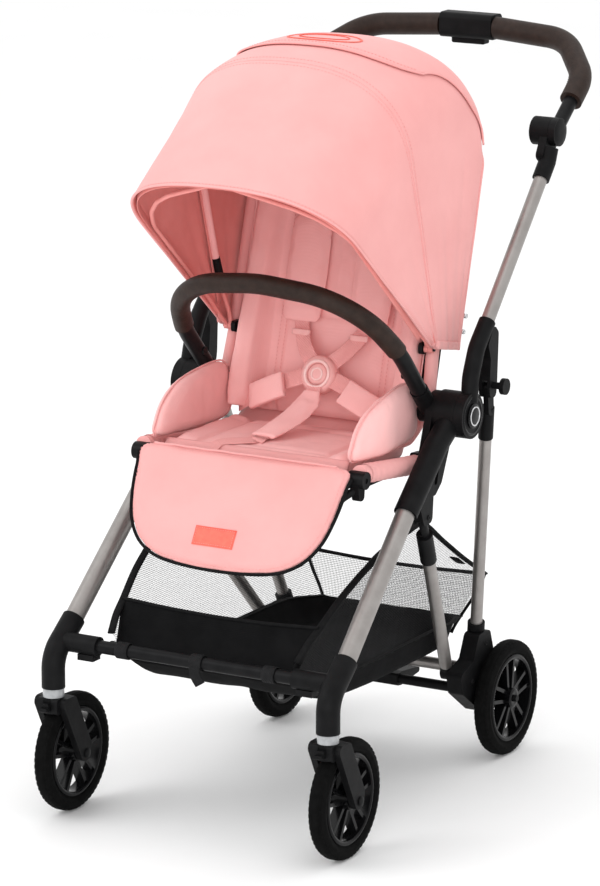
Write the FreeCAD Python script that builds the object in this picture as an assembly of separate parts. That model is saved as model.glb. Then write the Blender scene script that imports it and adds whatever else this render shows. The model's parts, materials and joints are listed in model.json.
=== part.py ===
import FreeCAD, Part
import math
import os

# Baby stroller: folding aluminium frame, swivel front casters, fixed rear wheels, reclining
# seat with footrest, canopy, bumper bar and basket.
# Millimetres. +Z is up, +X is the stroller's left-hand side as seen from the front, and the
# stroller faces -Y. Heights are above the floor. All the places below are measured from the
# front wheel axle (Y = 0), and every shape is moved by ORIGIN_Y when it is written, so that the
# origin is on the floor under the middle of the whole stroller.

ORIGIN_Y = 359.79

# Wheels
WHEEL_RADIUS = 87.0
AXLE_Z = WHEEL_RADIUS
TYRE_WIDTH = 26.0
RIM_RADIUS = 66.0
HUB_RADIUS = 15.0
FRONT_WHEEL_X = 225.0
REAR_WHEEL_X = 195.0
REAR_AXLE_Y = 549.0
AXLE_RADIUS = 5.0
RUNNING_GAP = 0.06

# Caster
CASTER_TRAIL = 46.6
STEM_RADIUS = 6.0
FORK_TOP_Z = 180.5
RING_TOP_Z = 194.0
FORK_GAP = 2.5
FORK_ARM = 10.0

# Front frame
LEG_RADIUS = 14.0
LEG_WALL = 1.5
LEG_FOOT = (223.5, 5.0, 282.0)
LEG_HEAD = (214.5, 193.0, 451.0)
LEG_TUBE_IN_SOCKET = -14.0
LEG_SLEEVE_START = 253.0
SOCKET_RADIUS = 17.0
SLEEVE_RADIUS = 17.5
CROSS_TUBE_Y = -26.0
CROSS_TUBE_Z = 258.0
CROSS_TUBE_RADIUS = 9.5

# Hub: the axis that the handle, the seat and the backrest all turn about
HUB_Y = 341.0
HUB_Z = 567.0
HUB_RADIUS_BIG = 33.5
HUB_IN_X = 195.0
HUB_OUT_X = 228.0
DISC_OUT_X = 243.0

# Fold linkage, side view: rear leg pivot P, link pivot Q and link foot R
P_Y, P_Z = 402.0, 594.0
Q_Y, Q_Z = 251.0, 434.0
R_Y, R_Z = 465.0, 140.0
REAR_TOP_X = 235.5
LINK_TOP_X = 209.0
LINK_FOOT_X = 139.0
REAR_TUBE_RADIUS = 9.0
LINK_TUBE_RADIUS = 9.5
REAR_FOOT = (165.0, 507.5, 204.5)
BRACKET_IN_X = 154.0
BRACKET_OUT_X = 179.0
REAR_BAR_Y, REAR_BAR_Z, REAR_BAR_RADIUS = 500.0, 138.0, 9.0
BRAKE_Y, BRAKE_Z, BRAKE_RADIUS = 492.0, 108.0, 7.5

# Basket, side view (y, z), and its half widths
BASKET_OUTLINE = [
    (-8, 272), (34, 314), (110, 376), (190, 400), (300, 412), (330, 408), (562, 274),
    (548, 205), (532, 168), (376, 166), (240, 168), (120, 180), (22, 226),
]
BASKET_FRONT_X = 186.0
BASKET_REAR_X = 156.0
BASKET_LOW_X = 130.0
BASKET_HIGH_X = 186.0
BASKET_LOW_Z = 165.0
BASKET_HIGH_Z = 415.0
BASKET_WALL = 3.0

# Handle
HANDLE_X = 232.0
HANDLE_TUBE_RADIUS = 10.0
HANDLE_START = (403.0, 691.0)
HANDLE_END = (569.0, 874.0)
HANDLE_LENGTH = math.hypot(HANDLE_END[0] - HANDLE_START[0], HANDLE_END[1] - HANDLE_START[1])
TILT_Y, TILT_Z = 611.0, 938.0
TILT_RADIUS = 21.0
GRIP_SLOPE = 34.4
GRIP_REACH = 231.0
GRIP_HALF_WIDTH = 219.0
GRIP_RADIUS = 17.0
GRIP_ARM_RADIUS = 10.5
LEATHER_START = 67.0

# Seat
SEAT_TUBE_X = 178.0
SEAT_TUBE_RADIUS = 13.0
SEAT_FRONT = (126.0, 519.0)
SEAT_REAR = (294.0, 498.0)
PAD_HALF_WIDTH = 148.0
BOLSTER_INNER_X = 126.0
BUCKLE_Y, BUCKLE_Z = 326.0, 603.0
BUCKLE_TILT = 20.0
BUCKLE_RADIUS = 28.0
BACK_LEAN = 15.3
BACK_TUBE_RADIUS = 8.0
FOOTREST_LEAN = 30.8
FOOTREST_TOP = (110.0, 531.0)
FOOTREST_Y, FOOTREST_Z = 124.0, 511.0
KNUCKLE_RADIUS = 12.5

# Canopy: arches that fan out from one pivot line
CANOPY_Y, CANOPY_Z = 350.0, 655.0
CANOPY_SKIN = 3.0
CANOPY_ARCHES = [
    # foot of the arch (y, z), degrees above forward, reach at the middle, half width, corner
    (350.0, 655.0, 39.7, 427.5, 176.0, 140.0),
    (350.0, 655.0, 58.0, 437.6, 180.0, 145.0),
    (350.0, 655.0, 73.7, 437.6, 181.0, 147.0),
    (376.0, 649.0, 87.3, 444.5, 183.0, 132.0),
    (390.0, 646.0, 93.2, 443.7, 183.0, 118.0),
    (400.0, 644.0, 98.4, 426.5, 182.0, 100.0),
    (414.0, 641.0, 105.4, 336.0, 181.0, 72.0),
]
BOW_RADIUS = 3.2
CLIP_PIN_RADIUS = 3.0
FRONT_BOW_X = 170.5
MIDDLE_BOW_X = 163.5
BOW_EYE_RADIUS = 5.5
BOW_STEPS = 12

# Bumper bar
BUMPER_Y, BUMPER_Z = 318.0, 587.0
BUMPER_SLOPE = 47.0
BUMPER_REACH = 250.0
BUMPER_HALF_WIDTH = 177.0

CHEEK_GAP = 0.35


def vec(point):
    return FreeCAD.Vector(*point)


def rounded_wire(points, radius, closed=False):
    """Straight runs joined by tangent arcs of about the given radius."""
    pts = [vec(p) for p in points]
    count = len(pts)
    corners = range(count) if closed else range(1, count - 1)
    cuts = {}
    for i in corners:
        before, here, after = pts[i - 1], pts[i], pts[(i + 1) % count]
        inward = (before - here)
        outward = (after - here)
        turn = math.pi - inward.getAngle(outward)
        if turn < 0.02:
            continue
        trim = radius * math.tan(turn / 2)
        trim = min(trim, 0.48 * inward.Length, 0.48 * outward.Length)
        real = trim / math.tan(turn / 2)
        inward.normalize()
        outward.normalize()
        start = here + inward * trim
        end = here + outward * trim
        middle = inward + outward
        middle.normalize()
        bulge = here + middle * (math.hypot(real, trim) - real)
        cuts[i] = (start, bulge, end)
    edges = []
    last = count if closed else count - 1
    for i in range(last):
        start = cuts[i][2] if i in cuts else pts[i]
        j = (i + 1) % count
        end = cuts[j][0] if j in cuts else pts[j]
        if (end - start).Length > 1e-4:
            edges.append(Part.makeLine(start, end))
        if j in cuts and (closed or j != count - 1):
            edges.append(Part.Arc(*cuts[j]).toShape())
    return Part.Wire(edges)


def mirrored_path(half):
    """Half a path that ends on the middle plane, carried on as its own mirror image."""
    return half + [(-x, y, z) for x, y, z in reversed(half[:-1])]


def rod(points, radius, bend):
    """Solid round bar along a bent path."""
    path = rounded_wire(points, bend)
    first = path.Edges[0]
    along = first.tangentAt(first.FirstParameter)
    start = first.valueAt(first.FirstParameter)
    ring = Part.Wire([Part.makeCircle(radius, start, along)])
    return path.makePipeShell([ring], True, False)


def tube(points, radius, wall, bend=40.0):
    """Hollow round tube along a bent path."""
    return rod(points, radius, bend).cut(rod(points, radius - wall, bend))


def pin(x0, x1, y, z, radius):
    """Round bar along X."""
    return Part.makeCylinder(radius, x1 - x0, vec((x0, y, z)), vec((1, 0, 0)))


def side_plate(outline, x0, x1, corner):
    """Plate lying in the side view, from outline points (y, z), between two X places."""
    wire = rounded_wire([(x0, y, z) for y, z in outline], corner, closed=True)
    return Part.Face(wire).extrude(vec((x1 - x0, 0, 0)))


def fused(*shapes):
    whole = shapes[0].multiFuse(list(shapes[1:]))
    return whole.removeSplitter()


def both_sides(shape):
    """The shape and its mirror image on the other side."""
    return Part.makeCompound([shape, shape.mirror(vec((0, 0, 0)), vec((1, 0, 0)))])


def along(slope, reach):
    """Step of the given length in the side view, forward and up at slope degrees."""
    return (-reach * math.cos(math.radians(slope)), reach * math.sin(math.radians(slope)))


def on_back(t, offset):
    """Point (y, z) of the backrest: t up from the hub axis, offset behind the tube line."""
    lean = math.radians(BACK_LEAN)
    y = HUB_Y + t * math.sin(lean) + offset * math.cos(lean)
    z = HUB_Z + t * math.cos(lean) - offset * math.sin(lean)
    return (y, z)


def write(shape, name):
    moved = shape.copy()
    moved.translate(vec((0, -ORIGIN_Y, 0)))
    moved.exportStep("parts/" + name + ".step")


# ---------------------------------------------------------------- wheels

def tyre(x, y):
    half = TYRE_WIDTH / 2
    profile = [
        (x - half + 3, y, AXLE_Z + RIM_RADIUS),
        (x - half, y, AXLE_Z + RIM_RADIUS + 9),
        (x - half + 3, y, AXLE_Z + WHEEL_RADIUS - 3),
        (x - 5, y, AXLE_Z + WHEEL_RADIUS),
        (x + 5, y, AXLE_Z + WHEEL_RADIUS),
        (x + half - 3, y, AXLE_Z + WHEEL_RADIUS - 3),
        (x + half, y, AXLE_Z + RIM_RADIUS + 9),
        (x + half - 3, y, AXLE_Z + RIM_RADIUS),
    ]
    face = Part.Face(rounded_wire(profile, 5, closed=True))
    return face.revolve(vec((x, y, AXLE_Z)), vec((1, 0, 0)), 360)


def rim(x, y):
    half = TYRE_WIDTH / 2 - 3
    band = pin(x - half, x + half, y, AXLE_Z, RIM_RADIUS)
    band = band.cut(pin(x - half - 1, x + half + 1, y, AXLE_Z, RIM_RADIUS - 7))
    hub = pin(x - TYRE_WIDTH / 2, x + TYRE_WIDTH / 2, y, AXLE_Z, HUB_RADIUS)
    pieces = [hub]
    for k in range(5):
        for side in (-1, 1):
            spoke = Part.makeBox(15, 5.5, RIM_RADIUS - 13, vec((x - 7.5, y - 2.75, AXLE_Z + 10)))
            spoke.rotate(vec((x, y, AXLE_Z + 10)), vec((1, 0, 0)), 7 * side)
            spoke.translate(vec((0, -6 * side, 0)))
            spoke.rotate(vec((x, y, AXLE_Z)), vec((1, 0, 0)), 72 * k)
            pieces.append(spoke)
    whole = fused(band, *pieces)
    return whole.cut(pin(x - 20, x + 20, y, AXLE_Z, AXLE_RADIUS + RUNNING_GAP))


def fork(x):
    inner = TYRE_WIDTH / 2 + FORK_GAP
    outer = inner + FORK_ARM
    arm = [(-64, FORK_TOP_Z), (-27, FORK_TOP_Z), (13, 100), (10, 76), (-10, 76)]
    bosses = []
    for x0, x1 in ((x - outer, x - inner), (x + inner, x + outer)):
        bosses.append(side_plate(arm, x0, x1, 9))
    crown = Part.makeCylinder(16.5, FORK_TOP_Z - 158, vec((x, -CASTER_TRAIL, 158)))
    bridge = side_plate([(-64, 158), (-64, FORK_TOP_Z), (-27, FORK_TOP_Z), (-20, 158)],
                        x - inner - 1, x + inner + 1, 4)
    room = pin(x - inner, x + inner, 0, AXLE_Z, WHEEL_RADIUS + 3.5)
    body = fused(bosses[0], bosses[1], crown, bridge).cut(room)
    stem = Part.makeCylinder(STEM_RADIUS, 42, vec((x, -CASTER_TRAIL, FORK_TOP_Z - 2)))
    axle = pin(x - outer - 1.5, x + outer + 1.5, 0, AXLE_Z, AXLE_RADIUS)
    caster_lock_slot = Part.makeBox(12.6, 8, 16.6, vec((x - 6.3, -CASTER_TRAIL - 24.3, 163)))
    return fused(body, stem, axle).cut(caster_lock_slot)


def swivel_lock(x):
    """Sliding tab on the front of the fork crown that locks the caster straight."""
    tab = Part.makeBox(12, 7, 11, vec((x - 6, -CASTER_TRAIL - 24, 163.6)))
    nose = Part.makeBox(12, 5, 4, vec((x - 6, -CASTER_TRAIL - 29, 165)))
    return fused(tab, nose)


# ---------------------------------------------------------------- front frame

def leg_point(distance):
    """Point on the leg's line, measured up from where the tube leaves the socket."""
    foot = vec(LEG_FOOT)
    step = vec(LEG_HEAD) - foot
    step.normalize()
    return tuple(foot + step * distance)


def front_leg_tube():
    ends = [leg_point(LEG_TUBE_IN_SOCKET), leg_point(LEG_SLEEVE_START + 45)]
    return tube(ends, LEG_RADIUS, LEG_WALL)


def front_leg_core():
    return rod([leg_point(LEG_TUBE_IN_SOCKET), leg_point(LEG_SLEEVE_START + 45)], LEG_RADIUS, 1)


def leg_socket():
    x = FRONT_WHEEL_X
    column = rod([(x, -CASTER_TRAIL, RING_TOP_Z), (x, -CASTER_TRAIL, 242), leg_point(2)],
                 SOCKET_RADIUS, 45)
    tee = pin(160, x - 4, CROSS_TUBE_Y, CROSS_TUBE_Z, 14)
    clip = Part.makeBox(26, 20, 9, vec((166, CROSS_TUBE_Y - 8, CROSS_TUBE_Z - 22)))
    body = fused(column, tee, clip)
    body = body.cut(front_leg_core())
    body = body.cut(pin(150, 190, CROSS_TUBE_Y, CROSS_TUBE_Z, CROSS_TUBE_RADIUS))
    stem_hole = Part.makeCylinder(STEM_RADIUS + RUNNING_GAP, 45, vec((x, -CASTER_TRAIL, 180)))
    return body.cut(stem_hole)


def caster_ring():
    x = FRONT_WHEEL_X
    ring = Part.makeCylinder(15.5, 12.8, vec((x, -CASTER_TRAIL, FORK_TOP_Z + 0.5)))
    hole = Part.makeCylinder(STEM_RADIUS + RUNNING_GAP, 20, vec((x, -CASTER_TRAIL, 178)))
    return ring.cut(hole)


def front_cross_tube():
    outer = pin(-190, 190, CROSS_TUBE_Y, CROSS_TUBE_Z, CROSS_TUBE_RADIUS)
    return outer.cut(pin(-191, 191, CROSS_TUBE_Y, CROSS_TUBE_Z, CROSS_TUBE_RADIUS - LEG_WALL))


def leg_sleeve():
    """Black moulding from the leg tube up into the hub, with the lug of the link pivot."""
    start = leg_point(LEG_SLEEVE_START)
    bend = (214.3, 285.0, 533.0)
    body = rod([start, bend, (214.0, HUB_Y, HUB_Z)], SLEEVE_RADIUS, 90)
    cheeks = []
    for x0 in (LINK_TOP_X - 11.5, LINK_TOP_X + 6.5):
        lug = [(Q_Y - 32, Q_Z + 38), (Q_Y + 18, Q_Z + 62), (Q_Y + 12, Q_Z - 8), (Q_Y - 12, Q_Z - 12)]
        cheeks.append(side_plate(lug, x0, x0 + 5, 9))
    link_pin = pin(LINK_TOP_X - 11.5, LINK_TOP_X + 11.5, Q_Y, Q_Z, 4)
    whole = fused(body, *cheeks, link_pin)
    whole = whole.cut(front_leg_core())
    return whole.cut(pin(190, 240, HUB_Y, HUB_Z, HUB_RADIUS_BIG))


def hub_housing():
    """Fixed drum of the hub with the hanging latch plate that takes the storage peg."""
    drum = pin(HUB_IN_X, HUB_OUT_X, HUB_Y, HUB_Z, HUB_RADIUS_BIG)
    outline = [(312, 545), (352, 540), (318, 470), (296, 452), (282, 462)]
    plate = side_plate(outline, 198, 206, 10)
    slot = side_plate([(303, 506), (312, 500), (303, 470), (295, 470)], 190, 210, 3)
    hollow = pin(HUB_IN_X + 6, HUB_OUT_X + 1, HUB_Y, HUB_Z, HUB_RADIUS_BIG - 4)
    shaft = pin(HUB_IN_X, DISC_OUT_X - 5, HUB_Y, HUB_Z, 8)
    sleeve = rod([leg_point(LEG_SLEEVE_START), (214.3, 285.0, 533.0), (214.0, HUB_Y, HUB_Z)],
                 SLEEVE_RADIUS, 90)
    plate = plate.cut(slot).cut(sleeve).cut(drum)
    return fused(drum.cut(hollow), shaft, plate)


# ---------------------------------------------------------------- basket

def basket_plan(inset):
    """Basket seen from above, narrower at the back."""
    front = BASKET_FRONT_X - inset
    rear = BASKET_REAR_X - inset
    corners = [(-front, -12, 150), (front, -12, 150), (rear, 570, 150), (-rear, 570, 150)]
    wire = rounded_wire(corners, 20, closed=True)
    return Part.Face(wire).extrude(vec((0, 0, 300)))


def basket_taper(inset):
    """Basket seen from the front, narrower at the bottom so that it clears the links."""
    low = BASKET_LOW_X - inset
    high = BASKET_HIGH_X - inset
    corners = [(-low, -50, BASKET_LOW_Z), (low, -50, BASKET_LOW_Z),
               (high, -50, BASKET_HIGH_Z), (-high, -50, BASKET_HIGH_Z)]
    wire = rounded_wire(corners, 1, closed=True)
    return Part.Face(wire).extrude(vec((0, 700, 0)))


def basket():
    outer = side_plate(BASKET_OUTLINE, -200, 200, 6).common(basket_plan(0)).common(basket_taper(0))
    inner_outline = [
        (-2, 273), (38, 313), (60, 450), (558.5, 450), (558.5, 275), (545, 206), (529.5, 171.2),
        (376, 169), (240, 171), (121, 183), (25, 229),
    ]
    inner = side_plate(inner_outline, -200, 200, 4).common(basket_plan(BASKET_WALL))
    inner = inner.common(basket_taper(BASKET_WALL))
    shell = outer.cut(inner)
    return max(shell.Solids, key=lambda s: s.Volume)


# ---------------------------------------------------------------- rear frame

def rear_line(fraction):
    """Point on the rear leg's line, from its pivot to where it enters the bracket."""
    top = vec((REAR_TOP_X, P_Y, P_Z))
    foot = vec(REAR_FOOT)
    return tuple(top + (foot - top) * fraction)


def rear_leg_core():
    return rod([rear_line(0.13), rear_line(1.06)], REAR_TUBE_RADIUS, 1)


def rear_leg_tube():
    return tube([rear_line(0.13), rear_line(1.06)], REAR_TUBE_RADIUS, LEG_WALL)


def rear_leg_top():
    """Fitting at the top of the rear leg: a tongue on the pivot, then a socket for the tube."""
    half = 4.0
    tongue = [(P_Y - 9, P_Z + 9), (P_Y + 9, P_Z + 9), (P_Y + 12, P_Z - 40), (P_Y - 4, P_Z - 40)]
    eye = side_plate(tongue, REAR_TOP_X - half, REAR_TOP_X + half, 8)
    socket = rod([rear_line(0.075), rear_line(0.20)], 11.0, 1)
    body = fused(eye, socket)
    body = body.cut(rear_leg_core())
    return body.cut(pin(220, 250, P_Y, P_Z, 4 + RUNNING_GAP))


def rear_bracket():
    outline = [
        (491, 196), (526, 196), (546, 140), (570, 92), (554, 67), (497, 76), (440, 116),
        (434, 146), (474, 160),
    ]
    body = side_plate(outline, BRACKET_IN_X, BRACKET_OUT_X, 9)
    socket = rod([rear_line(0.985), rear_line(1.12)], 13.0, 1)
    boss = pin(BRACKET_OUT_X - 2, REAR_WHEEL_X - TYRE_WIDTH / 2 - 1.5, REAR_AXLE_Y, AXLE_Z, 14)
    axle = pin(BRACKET_OUT_X - 10, REAR_WHEEL_X + TYRE_WIDTH / 2 + 6, REAR_AXLE_Y, AXLE_Z, AXLE_RADIUS)
    whole = fused(body, socket, boss, axle)
    whole = whole.cut(rear_leg_core())
    whole = whole.cut(pin(0, 170, REAR_BAR_Y, REAR_BAR_Z, REAR_BAR_RADIUS))
    return whole.cut(pin(100, 170, BRAKE_Y, BRAKE_Z, BRAKE_RADIUS + RUNNING_GAP))


def rear_cross_bar():
    outer = pin(-170, 170, REAR_BAR_Y, REAR_BAR_Z, REAR_BAR_RADIUS)
    return outer.cut(pin(-171, 171, REAR_BAR_Y, REAR_BAR_Z, REAR_BAR_RADIUS - LEG_WALL))


def brake_bar():
    """Torsion bar with the foot pedal that pushes the brake pins into the rear wheels."""
    bar = pin(-165, 165, BRAKE_Y, BRAKE_Z, BRAKE_RADIUS)
    pedal_outline = [(BRAKE_Y - 9, BRAKE_Z + 9), (BRAKE_Y + 8, BRAKE_Z + 10),
                     (BRAKE_Y + 62, BRAKE_Z + 4), (BRAKE_Y + 62, BRAKE_Z - 4),
                     (BRAKE_Y + 4, BRAKE_Z - 11), (BRAKE_Y - 9, BRAKE_Z - 9)]
    pedal = side_plate(pedal_outline, -45, 45, 4)
    return fused(bar, pedal)


# ---------------------------------------------------------------- links

def link_line(fraction):
    top = vec((LINK_TOP_X, Q_Y, Q_Z))
    foot = vec((LINK_FOOT_X, R_Y, R_Z))
    return tuple(top + (foot - top) * fraction)


def link_core():
    return rod([link_line(0.16), link_line(0.955)], LINK_TUBE_RADIUS, 1)


def link_tube():
    return tube([link_line(0.16), link_line(0.955)], LINK_TUBE_RADIUS, LEG_WALL)


def link_fitting():
    """Black ends of the link: the eye at the leg lug and the foot beside the rear bracket."""
    eye = pin(LINK_TOP_X - 6, LINK_TOP_X + 6, Q_Y, Q_Z, 9.5)
    neck = rod([link_line(0.0), link_line(0.20)], 7.5, 1)
    clear = Part.makeBox(40, 60, 60, vec((LINK_TOP_X + 6.0, Q_Y - 30, Q_Z - 34)))
    clear = clear.fuse(Part.makeBox(40, 60, 60, vec((LINK_TOP_X - 46.0, Q_Y - 30, Q_Z - 34))))
    sleeve = rod([link_line(0.11), link_line(0.27)], 12.0, 1)
    upper = fused(eye, neck.cut(clear), sleeve).cut(link_core())
    upper = upper.cut(pin(190, 230, Q_Y, Q_Z, 4 + RUNNING_GAP))
    foot = pin(LINK_FOOT_X - 6, LINK_FOOT_X + 6, R_Y, R_Z, 12)
    foot = foot.fuse(pin(LINK_FOOT_X, BRACKET_IN_X - CHEEK_GAP, R_Y, R_Z, 6))
    shank = rod([link_line(0.95), link_line(0.99)], 9.0, 1)
    lower = fused(foot, shank).cut(link_core())
    return [upper, lower]


# ---------------------------------------------------------------- handle

def handle_line(distance):
    y0, z0 = HANDLE_START
    y1, z1 = HANDLE_END
    part = distance / HANDLE_LENGTH
    return (HANDLE_X, y0 + (y1 - y0) * part, z0 + (z1 - z0) * part)


def handle_core():
    return rod([handle_line(-18), handle_line(HANDLE_LENGTH + 16)], HANDLE_TUBE_RADIUS, 1)


def handle_tube():
    return tube([handle_line(-18), handle_line(HANDLE_LENGTH + 16)], HANDLE_TUBE_RADIUS, LEG_WALL)


def elbow():
    """Two-branched casting: one branch to the hub disc, one to the rear leg pivot."""
    disc = pin(HUB_OUT_X + 0.5, DISC_OUT_X, HUB_Y, HUB_Z, HUB_RADIUS_BIG)
    front = rod([handle_line(2), (HANDLE_X, 372, 660), (HANDLE_X + 1, 352, 620), (235, 345, 585)],
                12.5, 60)
    housing_room = pin(200, HUB_OUT_X + 0.5, HUB_Y, HUB_Z, HUB_RADIUS_BIG + 1.5)
    branch = [(386, 662), (404, 690), (418, 676), (P_Y + 12, P_Z + 4), (P_Y + 9, P_Z - 12),
              (P_Y - 9, P_Z - 12), (P_Y - 12, P_Z + 4), (394, 640)]
    rear = side_plate(branch, REAR_TOP_X - 9.5, REAR_TOP_X + 8.5, 8)
    tongue_room = side_plate(
        [(P_Y - 40, P_Z + 14), (P_Y + 40, P_Z + 14), (P_Y + 40, P_Z - 30), (P_Y - 40, P_Z - 30)],
        REAR_TOP_X - 4 - CHEEK_GAP, REAR_TOP_X + 4 + CHEEK_GAP, 2)
    rear = rear.cut(tongue_room)
    body = fused(disc, front, rear).cut(housing_room)
    body = body.cut(handle_core())
    body = body.cut(pin(190, DISC_OUT_X - 5 + 0.5, HUB_Y, HUB_Z, 8 + RUNNING_GAP))
    return body.cut(pin(200, 260, P_Y, P_Z, 4))


def rear_pivot_pin():
    """Pivot pin of the rear leg, and the storage peg just above it."""
    shaft = pin(REAR_TOP_X - 9.5, REAR_TOP_X + 8.5, P_Y, P_Z, 4)
    stem = pin(REAR_TOP_X + 8.5, 258, P_Y + 1, P_Z + 6, 5)
    knob = pin(258, 265, P_Y + 1, P_Z + 6, 12)
    return fused(shaft, stem, knob)


def hub_cap():
    return pin(DISC_OUT_X, DISC_OUT_X + 2.5, HUB_Y, HUB_Z, 18)


def tilt_base():
    """Lower half of the handlebar joint, on the end of the handle tube."""
    sleeve = rod([handle_line(HANDLE_LENGTH), handle_line(HANDLE_LENGTH + 30), (HANDLE_X, TILT_Y - 14, TILT_Z - 22)],
                 13.0, 20)
    disc = pin(HANDLE_X - 13, HANDLE_X - 1, TILT_Y, TILT_Z, TILT_RADIUS)
    arm = side_plate([(575, 905), (600, 886), (632, 930), (600, 950)], HANDLE_X - 13, HANDLE_X - 1, 8)
    drum = pin(201, HANDLE_X - 13, TILT_Y, TILT_Z, TILT_RADIUS)
    button_room = pin(198, 208, TILT_Y, TILT_Z, 13.3)
    upper_room = pin(HANDLE_X - 1, HANDLE_X + 20, TILT_Y, TILT_Z, TILT_RADIUS + 1.5)
    body = fused(sleeve.cut(upper_room), disc, arm, drum).cut(button_room)
    axle = pin(HANDLE_X - 5, HANDLE_X + 9, TILT_Y, TILT_Z, 6)
    return fused(body, axle).cut(handle_core())


def tilt_button():
    return pin(197.5, 204.0, TILT_Y, TILT_Z, 13)


def grip_point(x, s):
    """Point in the handlebar's own plane, s back and up from the tilt pivot."""
    slope = math.radians(GRIP_SLOPE)
    return (x, TILT_Y + s * math.cos(slope), TILT_Z + s * math.sin(slope))


def grip_rod(radius):
    """Round bar along the handlebar: back from one pivot, across, and forward to the other."""
    half = [grip_point(GRIP_HALF_WIDTH + 14, 16), grip_point(GRIP_HALF_WIDTH + 10, 118),
            grip_point(170, 196), grip_point(0, GRIP_REACH - 17)]
    return rod(mirrored_path(half), radius, 75)


def handlebar_tube():
    discs = []
    for side in (-1, 1):
        x0, x1 = sorted((side * (HANDLE_X - 0.5), side * (HANDLE_X + 10)))
        disc = pin(x0, x1, TILT_Y, TILT_Z, TILT_RADIUS)
        hole = pin(x0 - 1, x1 + 1, TILT_Y, TILT_Z, 6 + RUNNING_GAP)
        room_x0, room_x1 = sorted((side * (HANDLE_X - 30), side * (HANDLE_X - 0.5)))
        room = pin(room_x0, room_x1, TILT_Y, TILT_Z, TILT_RADIUS + 1.5)
        discs.append((disc, hole, room))
    body = fused(grip_rod(GRIP_ARM_RADIUS), discs[0][0], discs[1][0])
    for disc, hole, room in discs:
        body = body.cut(hole).cut(room)
    return body


def handlebar_leather():
    """Leather tube over each half of the grip, from below the corner to the housing."""
    sleeve = grip_rod(GRIP_RADIUS).cut(grip_rod(GRIP_ARM_RADIUS))
    below = Part.makeBox(600, 160, 160, vec(grip_point(-300, LEATHER_START)) - vec((0, 160, 80)))
    below.rotate(vec(grip_point(0, LEATHER_START)), vec((1, 0, 0)), GRIP_SLOPE)
    centre = vec(grip_point(0, GRIP_REACH - 17))
    middle = Part.makeBox(92, 120, 120, centre - vec((46, 60, 60)))
    return sleeve.cut(below).cut(middle)


def handlebar_housing():
    """Black housing in the middle of the grip, open below for the fold trigger."""
    centre = vec(grip_point(0, GRIP_REACH - 17))
    body = Part.makeBox(88, 38, 38, centre - vec((44, 19, 21)))
    body = body.makeFillet(9, [e for e in body.Edges if abs(e.tangentAt(0).x) > 0.9])
    room = Part.makeBox(56.6, 20.6, 12, centre - vec((28.3, 10.3, 22)))
    body = body.cut(room)
    return body.cut(grip_rod(GRIP_ARM_RADIUS))


def fold_trigger():
    centre = vec(grip_point(0, GRIP_REACH - 17))
    bar = Part.makeBox(56, 20, 14, centre - vec((28, 10, 29.5)))
    return bar.makeFillet(3, bar.Edges)


# ---------------------------------------------------------------- seat

def seat_side_tube():
    ends = [(SEAT_TUBE_X, *SEAT_FRONT), (SEAT_TUBE_X, *SEAT_REAR)]
    knuckle_room = pin(150, 200, FOOTREST_Y, FOOTREST_Z, KNUCKLE_RADIUS + 0.5)
    return rod(ends, SEAT_TUBE_RADIUS, 1).cut(knuckle_room)


def seat_adapter():
    """Black side plate that clips the seat onto the hub and carries the bumper sockets."""
    disc = pin(181, HUB_IN_X - 0.5, HUB_Y, HUB_Z, 31)
    arm = side_plate([(316, 590), (352, 540), (330, 488), (296, 484), (288, 512)], 183, HUB_IN_X - 0.5, 9)
    block = side_plate([(SEAT_REAR[0], 484), (SEAT_REAR[0], 513), (322, 511), (324, 486)], 166, 190, 5)
    tip = along(BUMPER_SLOPE, 26)
    root = along(BUMPER_SLOPE, -22)
    socket = rod([(BUMPER_HALF_WIDTH, BUMPER_Y + root[0], BUMPER_Z + root[1]),
                  (BUMPER_HALF_WIDTH, BUMPER_Y + tip[0], BUMPER_Z + tip[1])], 13.5, 1)
    bore_end = along(BUMPER_SLOPE, 40)
    bore = rod([(BUMPER_HALF_WIDTH, BUMPER_Y, BUMPER_Z),
                (BUMPER_HALF_WIDTH, BUMPER_Y + bore_end[0], BUMPER_Z + bore_end[1])], 9.06, 1)
    lever_room = pin(150, 181, HUB_Y, HUB_Z, 20)
    body = fused(disc, arm, block, socket.cut(lever_room))
    hinge = pin(158, 182, HUB_Y, HUB_Z, 6)
    body = fused(body, hinge).cut(bore)
    return body.cut(seat_side_tube())


def seat_pan():
    """Board under the seat pad, with a lug and hinge pin at each front corner for the footrest."""
    corners = [(-170, 142, 492), (170, 142, 492), (170, 291, 492), (154, 291, 492),
               (154, 324, 492), (-154, 324, 492), (-154, 291, 492), (-170, 291, 492)]
    board = Part.Face(rounded_wire(corners, 3, closed=True)).extrude(vec((0, 0, 5)))
    parts = [board]
    for side in (-1, 1):
        x0, x1 = sorted((side * 157.5, side * 163.5))
        lug = [(FOOTREST_Y - 8, FOOTREST_Z - 8), (FOOTREST_Y - 8, FOOTREST_Z + 8),
               (FOOTREST_Y + 10, FOOTREST_Z + 6), (168, 497), (164, 492)]
        parts.append(side_plate(lug, x0, x1, 6))
        p0, p1 = sorted((side * 157.5, side * 188))
        parts.append(pin(p0, p1, FOOTREST_Y, FOOTREST_Z, 4))
    whole = fused(*parts)
    mirror = seat_side_tube().mirror(vec((0, 0, 0)), vec((1, 0, 0)))
    return whole.cut(seat_side_tube()).cut(mirror)


def seat_pad():
    outline = [(140, 498), (137, 520), (152, 527), (322, 527), (322, 498)]
    return side_plate(outline, -PAD_HALF_WIDTH, PAD_HALF_WIDTH, 7)


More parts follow.
